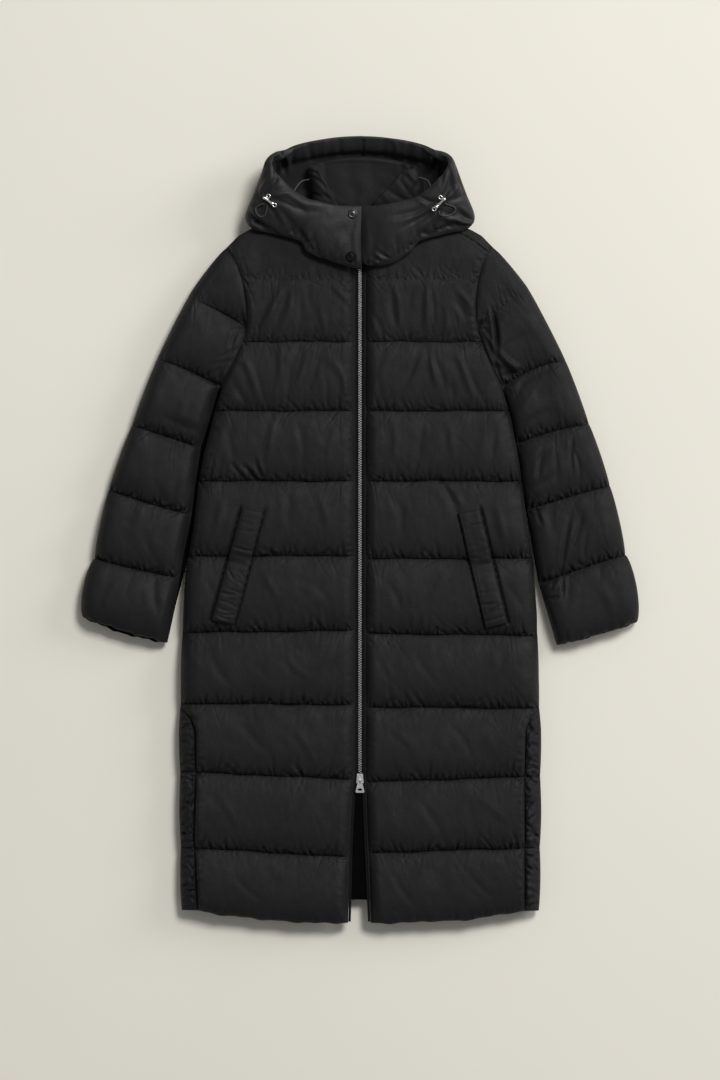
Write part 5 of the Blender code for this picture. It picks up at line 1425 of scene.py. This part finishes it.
def make_side_strip(side, random):
    """The narrow puffed strip between a front's lower side and the side fold."""
    relief = Relief(STRIP_BOX, STRIP_LUMPS, random)
    y = np.linspace(*STRIP_PULLS_Y, 200)
    seam = route_on(side, front_edge(side, y) + STRIP_SEAM_PULLS_IN, y)
    relief.gather(seam, STRIP_SEAM_PULLS, side, random)
    fold = route_on(side, body_edge(side, y) - SIDE_PULLS_IN, y)
    relief.gather(fold, STRIP_EDGE_PULLS, -side, random)
    lines = steps_down(LAST_BAFFLE + 1 - STRIP_FIRST, STRIP_ROWS) + STRIP_FIRST
    lines[0] = STRIP_FIRST + STRIP_START
    down, across = grid_of(lines, unit_run(STRIP_COLUMNS))
    line, share = baffle_at(down)
    y = blend(quilting_y(side, line, 1.0), quilting_y(side, line + 1, 1.0), share)
    inner = front_edge(side, y) + PANEL_GAP
    outer = body_edge(side, y) + scallop(share)
    x = blend(inner, outer, across)
    taper = rounding(x - inner, STRIP_ROUND) * rounding(outer - x, STRIP_FOLD_ROUND)
    taper = taper * np.minimum(1.0, (outer - inner) / STRIP_FULL_WIDTH)
    height = puffed(share, STRIP_PUFF) + relief.at(side * x, y)
    inside = UPPER_PLANE - droop(outer - x)
    z = inside + blend(EDGE_HEIGHT, np.maximum(height, LEAST_HEIGHT), taper)
    name = side_name(side)
    item = put_panel("side_strip_shell_" + name, side * x, y, z, inside)
    declare(item, "shell", "side_strip_" + name, fill=0.4)


# ---------------------------------------------------------------- sleeves
def sleeve_place(side, across, along, upper=True):
    """Where points of a sleeve lie: `across` from outer to inner fold, `along` in baffles."""
    lines = SLEEVES[side]
    line, share = baffle_at(along, SLEEVE_BAFFLES)

    def between(column):
        values = getattr(lines, column)
        return blend(values[line], values[line + 1], share)

    swell = np.clip(4.0 * share * (1.0 - share), 0.0, 1.0)
    outer_x = between("outer_x") + lines.bulge[line] * swell ** 0.6
    inner_y = between("inner_y")
    body = body_edge(side, inner_y)
    near_cuff = ramp(along, *NEAR_CUFF)
    clearance = blend(SIDE_CLEARANCE[side], CUFF_CLEARANCE, near_cuff) if upper else UNDER_CLEARANCE
    least_x = body + blend(PANEL_GAP, clearance, ramp(along, *CLEAR_BELOW))
    shift = SLEEVE_SHIFT if upper else blend(UNDER_SHIFT[side], SLEEVE_SHIFT, near_cuff)
    free_x = np.maximum(between("inner_x") + clearance - shift, least_x)
    x = blend(outer_x, np.where(along <= ARMHOLE_BAFFLES, body + PANEL_GAP, free_x), across)
    middle = 4.0 * across * (1.0 - across)
    y = blend(between("outer_y"), inner_y, across) + between("bow") * middle
    to_cuff = np.maximum(0.0, along - SLEEVE_BAFFLES + 1)
    drop = CUFF_DROP if side < 0 and not upper else 0.0
    y = y - drop * to_cuff ** 3 * middle
    return x, y + to_cuff ** 6 * waver(across * 2.0 % 1.0, side + 2.0 * upper, 1.9)


def sleeve_line(side, line):
    """A quilting line of a sleeve, from the outer fold to the inner one."""
    across = unit_run(60)
    return route_on(side, *sleeve_place(side, across, np.full_like(across, float(line))))


def draw_sleeve(relief, side, random, upper):
    """Folds and gathers of one half of a sleeve."""
    above = ABOVE_LINE if upper else UNDER_LAYER
    outward = 0.0 if side > 0 else 180.0
    for line in SLEEVE_QUILTED:
        points = sleeve_line(side, line)
        strength = SLEEVE_GATHERED[line]
        relief.gather(points, above, -side, random, 0.0, strength)
        relief.gather(points[INNER_GATHER_FROM:], above, -side, random, INNER_GATHER_LEAN, strength)
        for style, way in SLEEVE_GATHERS:
            relief.gather(points, style, -side * way, random)
        for fan in SLEEVE_FANS:
            relief.fan(points[-1], outward + side * fan.turn, fan, random)
        fan = SLEEVE_OUTER_FAN
        relief.fan(points[0], 180.0 - outward + side * fan.turn, fan, random)
    along = np.linspace(0.05, SLEEVE_BAFFLES - 0.05, 200)
    for across, way in ((0.02, side), (0.98, -side)):
        fold = route_on(side, *sleeve_place(side, np.full_like(along, across), along))
        relief.gather(fold, AT_EDGE, way, random)
    relief.gather(sleeve_line(side, SLEEVE_BAFFLES), HEM_GATHER, -side, random)
    if upper:
        relief.folds(on_side(SLEEVE_FOLDS, side), random)


def sleeve_taper(side, along, from_inner, from_outer):
    """How the puff of a sleeve falls off toward its armhole or inner fold and its outer fold."""
    at_arm = rounding(from_inner, ARM_ROUND)
    at_fold = INNER_FOLD[side](from_inner, INNER_ROUND[side])
    return blend(at_arm, at_fold, ramp(along, *FOLD_BELOW)) * rounding(from_outer, OUTER_ROUND)


def sleeve_stitches(side, across, along):
    """Height of the quilting lines of an upper sleeve, which start faint at the outer fold."""
    faint = np.interp(along, np.arange(SLEEVE_BAFFLES + 1), SLEEVE_FAINT)
    reach = np.where(along < 1.5, FAINT_REACH[side], LATER_FAINT_REACH)
    return SLEEVE_STITCH_HEIGHT + faint * ramp(reach, across, 0.5)


def make_sleeve(side, upper, random):
    """One half of a sleeve: the upper one puffs up, the under one is pressed flat."""
    relief = Relief(SLEEVE_BOXES[side], SLEEVE_LUMPS, random)
    draw_sleeve(relief, side, random, upper)
    rows, columns = (SLEEVE_ROWS, SLEEVE_COLUMNS) if upper else (UNDER_ROWS, UNDER_COLUMNS)
    along, across = grid_of(steps_down(SLEEVE_BAFFLES, rows), steps_across(columns))
    x, y = sleeve_place(side, across, along, upper)
    width = np.hypot(x[:, -1:] - x[:, :1], y[:, -1:] - y[:, :1])
    from_inner, from_outer = (1.0 - across) * width, across * width
    taper = sleeve_taper(side, along, from_inner, from_outer)
    drawn = relief.at(side * x, y) * np.clip(SLEEVE_EDGE_RELIEF + taper, 0.0, 1.0)
    free = ramp(along, *FREE_BELOW)
    hang = droop(from_outer) * ramp(along, *DROOP_BELOW) + droop(from_inner) * free
    line, share = baffle_at(along, SLEEVE_BAFFLES)
    full = SLEEVES[side].full[line]
    if upper:
        puff = puffed(share, SLEEVE_PUFF * full, sleeve_stitches(side, across, along),
                      SLEEVE_FALL_POWER)
        edge = blend(EDGE_HEIGHT, ARM_EDGE_HEIGHT, (1.0 - free) * across)
        inside = UPPER_PLANE - hang
        z = inside + blend(edge, np.maximum(puff + drawn, LEAST_HEIGHT), taper)
    else:
        depth = puffed(share, LOWER_PLANE * UNDER_SWELL * full) + drawn
        depth = np.clip(depth, LEAST_HEIGHT, LOWER_PLANE)
        inside = LOWER_PLANE - hang
        z = np.maximum(inside - blend(EDGE_HEIGHT, depth, taper), 0.0)
    name = "sleeve_{}_{}".format(side_name(side), "upper" if upper else "under")
    item = put_panel("shell_" + name, side * x, y, z, inside)
    return declare(item, "shell", name, fill=0.55 if upper else 0.45)


# ---------------------------------------------------------------- hood and collar
def make_hood_half(side, relief, lining):
    """Half the hood, from the chin band's end round the side to the crown."""
    sections = CHINS[side] + HOOD_SECTIONS
    stations = np.array([[(*point, thick) for point in row] for row, thick in sections], float)
    stations[:, :, 0] *= side
    lines = smooth_grid(stations.transpose(1, 0, 2), HOOD_SECTION_STEPS)
    middle = smooth_grid(lines.transpose(1, 0, 2), HOOD_STEPS)
    columns = middle.shape[1]
    bulge = blend(WALL_EDGE_SHARE, 1.0, rounding(from_ends(columns), (columns - 1) / 2))
    thickness = HOOD_THICKNESS * middle[..., 3] * bulge[None, :]
    name = side_name(side)
    # The hood wears the lighter painted copy of the shell nylon.
    item = put_wall("hood_shell_" + name, middle[..., :3], thickness, relief, lining, HOOD_NYLON_PAINTED_LIGHTER,
                    upright_end=True)
    return declare(item, "shell", "hood_" + name, fill=0.6)


def make_hood(random, edge_random):
    relief = Relief(HOOD_BOX, HOOD_LUMPS, random)
    relief.folds(HOOD_FOLDS, random)
    relief.groove(CROWN_SEAM, 2.0, 3.4)
    for side in SIDES:
        hem = [(side * x, y) for x, y in HOOD_HEM]
        relief.gather(hem, HOOD_PULLS, side, edge_random)
    lining = Relief(HOOD_BOX, HOOD_LINING_LUMPS, random)
    return {side: make_hood_half(side, relief, lining) for side in SIDES}


def collar_arm(ring, side, neck):
    """Points of one side of a ring, from its front edge round the side fold."""
    edge, half = (ring.left_edge, ring.left) if side < 0 else (ring.right_edge, ring.right)
    radius = (ring.z_high - ring.z_low) / 2
    middle_z = (ring.z_high + ring.z_low) / 2
    turn_x = half - radius

    def front_y(x):
        if neck:
            return float(FRONT_TOP.at("x", "y", x)) + NECK_GAP
        return blend(ring.y_front, ring.y_outer, float(rounding(x, ring.right)) ** 2)

    points = []
    for share in (0.0, 0.5):
        x = blend(edge, turn_x, share)
        points.append((side * x, front_y(x), ring.z_high))
    y_end = ring.y_outer if neck else blend(ring.y_outer, ring.y_back, 0.5)
    for step in range(COLLAR_TURN_STEPS + 1):
        turned = step / COLLAR_TURN_STEPS
        angle = math.pi * (0.5 - turned)
        x = turn_x + radius * math.cos(angle)
        share = min(1.0, 2 * step / (COLLAR_TURN_STEPS + 1)) if neck else turned
        y = blend(front_y(turn_x), y_end, share)
        points.append((side * x, y, middle_z + radius * math.sin(angle)))
    return points


def collar_ring(ring, neck):
    """Points round one ring of the collar, from its left front edge to its right one."""
    left, right = (collar_arm(ring, side, neck) for side in SIDES)
    bottom = []
    for share in (0.2, 0.4, 0.6, 0.8):
        x, y, z = (blend(a, b, share) for a, b in zip(left[-1], right[-1]))
        bottom.append((x, blend(y, ring.y_back, 4 * share * (1 - share)), z))
    return left + bottom + right[::-1]


def make_collar(random, edge_random):
    """The stand collar, one wall through rings of points from the neck seam up."""
    relief = Relief(COLLAR_BOX, COLLAR_LUMPS, random)
    relief.folds(COLLAR_FOLDS, random)
    relief.folds(COLLAR_ROLL, edge_random)
    lining = Relief(COLLAR_BOX, COLLAR_LINING_LUMPS, random)
    rings = np.array([collar_ring(ring, number == 0) for number, ring in enumerate(COLLAR_RINGS)])
    round_it = smooth_grid(rings.transpose(1, 0, 2), COLLAR_RING_STEPS).transpose(1, 0, 2)
    middle = smooth_grid(round_it, COLLAR_STEPS)
    rows, columns = middle.shape[:2]
    up = rounding(from_ends(rows), 2 * COLLAR_STEPS / 3)
    inward = rounding(from_ends(columns), 2 * COLLAR_RING_STEPS)
    share = np.minimum(up[:, None], inward[None, :])
    thickness = COLLAR_THICKNESS * blend(WALL_EDGE_SHARE, 1.0, share)
    item = put_wall("collar_shell", middle, thickness, relief, lining, SHELL)
    return declare(item, "shell", "collar", fill=0.5)


# ---------------------------------------------------------------- pockets
def draw_welt(side, random):
    """Folds and gathers of a welt, from its opening edge and from its top."""
    relief = Relief(WELT_BOX, WELT_LUMPS, random)
    for x, style, way in ((WELT_OPEN_X, WELT_OPEN, -1), (WELT_SEWN_X, WELT_SEWN, 1)):
        relief.gather(((x, 4), (x, WELT_LENGTH)), style, way, random)
    relief.groove(((WELT_STITCH_X, 0), (WELT_STITCH_X, WELT_LENGTH + 10)), 1.2, 1.0)
    relief.folds(WELT_FOLDS[side], random)
    return relief


def make_welt(side, ground, random):
    """A folded strip on a front, rumpled, its underside following the front."""
    relief = draw_welt(side, random)
    outer_top, inner_top, inner_low, outer_low = np.array(WELTS[side], float)
    down, across = grid_of(unit_run(WELT_ROWS), unit_run(WELT_COLUMNS))
    start = blend(outer_top, outer_low, down[..., None])
    end = blend(inner_top, inner_low, down[..., None])
    place = blend(start, end, across[..., None])
    place[..., 0] *= side
    seats = np.array([[ground.height_round(x, y, WELT_SEAT_REACH) for x, y in row[::5]]
                      for row in place[::6]])
    seat = sample(seats, down * (len(seats) - 1.001), across * (seats.shape[1] - 1.001), eased=True)
    seat += SEAM_GAP
    crown = rounding(across, 0.22) * rounding(1.0 - across, 0.10)
    crown *= rounding(down, 0.03) * rounding(1.0 - down, 0.03)
    thick = blend(WELT_EDGE_THICKNESS, WELT_THICKNESS, crown)
    thick = thick + relief.at(across * WELT_WIDTH, down * WELT_LENGTH)
    top = seat + np.maximum(thick, WELT_LEAST_THICKNESS)
    points = [(*where, level) for level_map in (top, seat)
              for where, level in zip(place.reshape(-1, 2), level_map.ravel())]
    name = side_name(side)
    item = put_mesh("welt_shell_" + name, points, sheet_faces(*down.shape), SHELL)
    declare(item, "shell", "pocket_welt_" + name, fill=0.2)


# ---------------------------------------------------------------- zip
def make_tape(side):
    """The strip of tape between a front's edge and the chain, on to the hem."""
    y = np.linspace(CHAIN_TOP_Y, QUILTING.left_zip[-1] + 2.0, 420)
    outer = zip_edge(side, y) - SEAM_GAP
    points = []
    shares = unit_run(5)
    for share in shares:
        ripple = TAPE_RIPPLE * np.sin(y / 7.0 + 2.0 * share)
        x = side * blend(outer, outer - TAPE_WIDTH, share)
        points.append(np.stack([x, y, TAPE_BOTTOM + TAPE_THICKNESS + ripple], axis=1))
    for share in shares[::-1]:
        x = side * blend(outer, outer - TAPE_WIDTH, share)
        points.append(np.stack([x, y, np.full_like(y, TAPE_BOTTOM)], axis=1))
    count = len(points)
    faces = tube_faces(len(y), count)
    faces += [tuple(range(count)), tuple(range(len(y) * count - 1, (len(y) - 1) * count - 1, -1))]
    name = side_name(side)
    points = np.stack(points, axis=1).reshape(-1, 3)
    item = put_mesh("tape_" + name, points, faces, TAPE, sharp_angle=50)
    declare(item, "zip_tape", "zip_tape_" + name)


def make_chain():
    """Two rows of teeth that mesh along the middle, on their woven edges."""
    count = len(TOOTH_OUTLINE)
    points, faces = [], []
    places = np.arange(SLIDER_TOP_Y + 2.0, CHAIN_TOP_Y - 0.8, CHAIN_PITCH / 2)
    for number, y in enumerate(places):
        side = -1 if number % 2 else 1
        first = len(points)
        for level, inset in TOOTH_LEVELS:
            for x, away in TOOTH_OUTLINE:
                reach = TOOTH_REACH - (x if x > 1.0 else x + inset)
                points.append((side * (reach - TOOTH_OVERLAP), y + away * (1.0 - 0.35 * inset),
                               CHAIN_MIDDLE + level))
        faces += tube_faces(len(TOOTH_LEVELS), count, first)
        faces += [tuple(range(first, first + count)),
                  tuple(range(len(points) - count, len(points)))]
    item = put_mesh("chain_teeth", points, faces, ZIP_METAL, smooth=False)
    declare(item, "zip_metal", "zip_chain")
    for side in SIDES:
        ends = [(side * CHAIN_EDGE_X, y, CHAIN_MIDDLE - CHAIN_EDGE_DROP)
                for y in (CHAIN_TOP_Y - 0.5, SLIDER_TOP_Y + 1.0)]
        edge, _ = put_tube("chain_edge_" + side_name(side), ends, CHAIN_EDGE_RADIUS, TAPE, steps=1)
        declare(edge, "zip_tape")


def make_slider():
    """The slider, a little narrower toward its top, and its pull tab."""
    slider = copy_node("zip_slider", "slider_body", ZIP_METAL)
    for corner in slider.data.vertices:
        down = (SLIDER_TOP_Y - corner.co.y / MM) / SLIDER_LENGTH
        corner.co.x *= blend(SLIDER_TOP_SHARE, 1.0, min(max(2.2 * down, 0.0), 1.0))
    bevel(slider, 0.35)
    declare(slider, "zip_metal", "zip_slider")
    pull = copy_node("zip_pull", "pull_tab_plate", ZIP_METAL)
    bevel(pull, 0.28)
    declare(pull, "zip_metal", "zip_pull", body="pull_tab")


# ---------------------------------------------------------------- small metal parts
def make_snap(row, ground):
    """A snap's ringed cap, domed in its middle, pressed into the chin band."""
    # The lower snap, the same metal as the upper one, gets the near-black painted shade of the chin
    # band's lower edge.
    material = GUNMETAL if row.name == "snap_upper" else SNAP_METAL_PAINTED_SHADE
    cap = put_turned(row.name + "_cap", SNAP_PROFILE, 48, material)
    low_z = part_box(row.name)[0][2]
    seat = max(low_z, (ground.height_round(row.x, row.y, SNAP_RADIUS) + SEAM_GAP) * MM)
    cap.location = (row.x * MM, row.y * MM, min(seat, low_z + SNAP_LIFT * MM))
    declare(cap, "dark_metal", row.name)


def add_rings(bar, places):
    """Join a small ring to a bar at each of some places."""
    shape = bmesh.new()
    shape.from_mesh(bar.data)
    for x, y in places:
        ring = put_ring("ring_form", RING_RADIUS, RING_WIRE, NICKEL)
        ring.data.transform(Matrix.Translation((x * MM, y * MM, 0.0)))
        shape.from_mesh(ring.data)
        bpy.data.objects.remove(ring)
    shape.to_mesh(bar.data)
    shape.free()


def lay_along(bar, start, end, ground):
    """Turn a bar to run between two places and lower it until it nearly touches the ground."""
    middle = (start + end) / 2
    reach = (end - start).length / 2
    up = ground.facing(middle.x, middle.y, reach)
    ahead = (end - start).to_3d()
    ahead = (ahead - up * ahead.dot(up)).normalized()
    bar.rotation_euler = Matrix((ahead, up.cross(ahead), up)).transposed().to_euler()
    height = ground.height_round(middle.x, middle.y, reach) + 2 * reach
    bar.location = (middle.x * MM, middle.y * MM, height * MM)
    bpy.context.view_layer.update()
    corners = [bar.matrix_world @ corner.co for corner in bar.data.vertices]
    bar.location += DOWN * (ground.room(corners, DOWN) - SEAM_GAP * MM)


def make_toggle(row, ground):
    """A waisted metal bar with two small rings, laid on the hood's side."""
    start, end = Vector(row.bar_from), Vector(row.bar_to)
    reach = (end - start).length / 2
    half = [(radius, reach - inward) for radius, inward in TOGGLE_PROFILE]
    profile = [(0.0, -reach)] + [(radius, -level) for radius, level in half]
    profile += half[::-1] + [(0.0, reach)]
    name = side_name(row.side)
    bar = put_turned("toggle_bar_" + name, profile, 24, NICKEL)
    bar.data.transform(Matrix.Rotation(math.pi / 2, 4, "Y"))
    ring_reach = RING_RADIUS + RING_WIRE - RING_SEAT
    beside = ((row.ring_share - 0.5) * 2 * reach, -row.side * (TOGGLE_RADIUS + ring_reach))
    add_rings(bar, (beside, (reach + ring_reach - RING_WIRE, 0.0)))
    lay_along(bar, start, end, ground)
    declare(bar, "nickel", "toggle_" + name)


def make_toggle_cord(side, ground):
    """The loop of cord under a toggle, which lies on the hood."""
    route = []
    for x, y in TOGGLE_LOOPS[side]:
        lift = (CORD_RADIUS + SEAM_GAP) / ground.facing(x, y, CORD_RADIUS).z
        route.append((x, y, ground.height_round(x, y, CORD_RADIUS) + lift))
    name = side_name(side)
    cord, points = put_tube("drawcord_" + name, route, CORD_RADIUS, CORD, steps=4)
    declare(cord, "cord", "toggle_cord_" + name)


def make_collar_loop(side, hood, collar):
    """An elastic loop that stands on the hood's inside and on the collar."""
    route = COLLAR_LOOPS[side]
    ends = []
    for item, place in ((hood, route[0]), (collar, route[-1])):
        foot, away = Ground(item).nearest(place)
        ends.append((tuple(foot + away * LOOP_GAP), tuple(foot + away * LOOP_LEAD)))
    (start, after_start), (end, before_end) = ends
    whole = [start, after_start, *route[1:-1], before_end, end]
    name = side_name(side)
    loop, _ = put_tube("elastic_" + name, whole, ELASTIC_RADIUS, ELASTIC)
    declare(loop, "elastic", "collar_loop_" + name)


# ---------------------------------------------------------------- studio
CAMERA_HEIGHT = 9.0     # over the view's plane; all of these are in metres and watts
VIEW_PLANE_Z = 0.04
VIEW_HEIGHT = 1.8144
VIEW_CENTRE_Y = -0.0172
LAMPS = rows_of(
    "name place size power",
    ("key", (3.5, 4.9, 8.6), 3.0, 745.0),
    ("fill", (5.6, 2.6, 2.6), 2.6, 165.0),
)
SKY = 0.255
FLOOR_REACH = 5000      # and these two in millimetres
FLOOR_Z = -0.3


def make_stage():
    """A pale floor, a soft light from the upper right, and the camera overhead."""
    scene = bpy.context.scene
    corners = [(FLOOR_REACH * x, FLOOR_REACH * y, FLOOR_Z)
               for x, y in ((-1, -1), (1, -1), (1, 1), (-1, 1))]
    put_mesh("floor", corners, [(0, 1, 2, 3)], floor_paper(), smooth=False)
    scene.world = bpy.data.worlds.new("studio")
    scene.world.use_nodes = True
    background = scene.world.node_tree.nodes["Background"]
    background.inputs["Color"].default_value = (1.0, 1.0, 1.0, 1.0)
    background.inputs["Strength"].default_value = SKY
    for row in LAMPS:
        light = bpy.data.lights.new(row.name, "AREA")
        light.size = row.size
        light.energy = row.power
        lamp = bpy.data.objects.new(row.name, light)
        lamp.location = row.place
        lamp.rotation_euler = (-Vector(row.place)).to_track_quat("-Z", "Y").to_euler()
        scene.collection.objects.link(lamp)
    camera = bpy.data.objects.new("camera", bpy.data.cameras.new("camera"))
    camera.data.sensor_width = 36.0
    camera.data.lens = 36.0 * CAMERA_HEIGHT / VIEW_HEIGHT
    camera.data.clip_end = 100.0
    camera.location = (0.0, VIEW_CENTRE_Y, VIEW_PLANE_Z + CAMERA_HEIGHT)
    scene.collection.objects.link(camera)
    scene.camera = camera
    scene.view_settings.view_transform = "Standard"


# ---------------------------------------------------------------- the coat
def make_seam_stitches(fronts, sleeves):
    """The stitches of all quilting lines that face up, and those beside the zip."""
    routes = [front_line(side, line, STITCHES_IN) for side in SIDES for line in QUILTED]
    y = np.linspace(*ZIP_STITCHES_Y, 300)
    routes += [route_on(side, zip_edge(side, y) + ZIP_STITCHES_IN, y) for side in SIDES]
    put_stitches("stitches_fronts", fronts, routes)
    routes = [sleeve_line(side, line)[3:-3] for side in SIDES for line in SLEEVE_QUILTED]
    put_stitches("stitches_sleeves", sleeves, routes)


def make_coat():
    """All the pieces, in the order of the random draws."""
    random = np.random.default_rng(20)
    edge_random = np.random.default_rng(7)
    hoods = make_hood(random, edge_random)
    on_hood = Ground(*hoods.values())
    for side in SIDES:
        make_toggle_cord(side, on_hood)
    collar = make_collar(random, edge_random)
    on_fronts = Ground(*make_fronts(random))
    make_back(random)
    for side in SIDES:
        make_side_strip(side, random)
    sleeves = []
    for side in SIDES:
        sleeves.append(make_sleeve(side, True, random))
        make_sleeve(side, False, random)
    for side in SIDES:
        make_welt(side, on_fronts, random)
    for side in SIDES:
        make_tape(side)
    make_chain()
    make_slider()
    for row in SNAPS:
        make_snap(row, on_hood)
    for row in TOGGLES:
        make_toggle(row, on_hood)
    for side in SIDES:
        make_collar_loop(side, hoods[side], collar)
    make_seam_stitches(on_fronts, Ground(*sleeves))


make_stage()
make_coat()
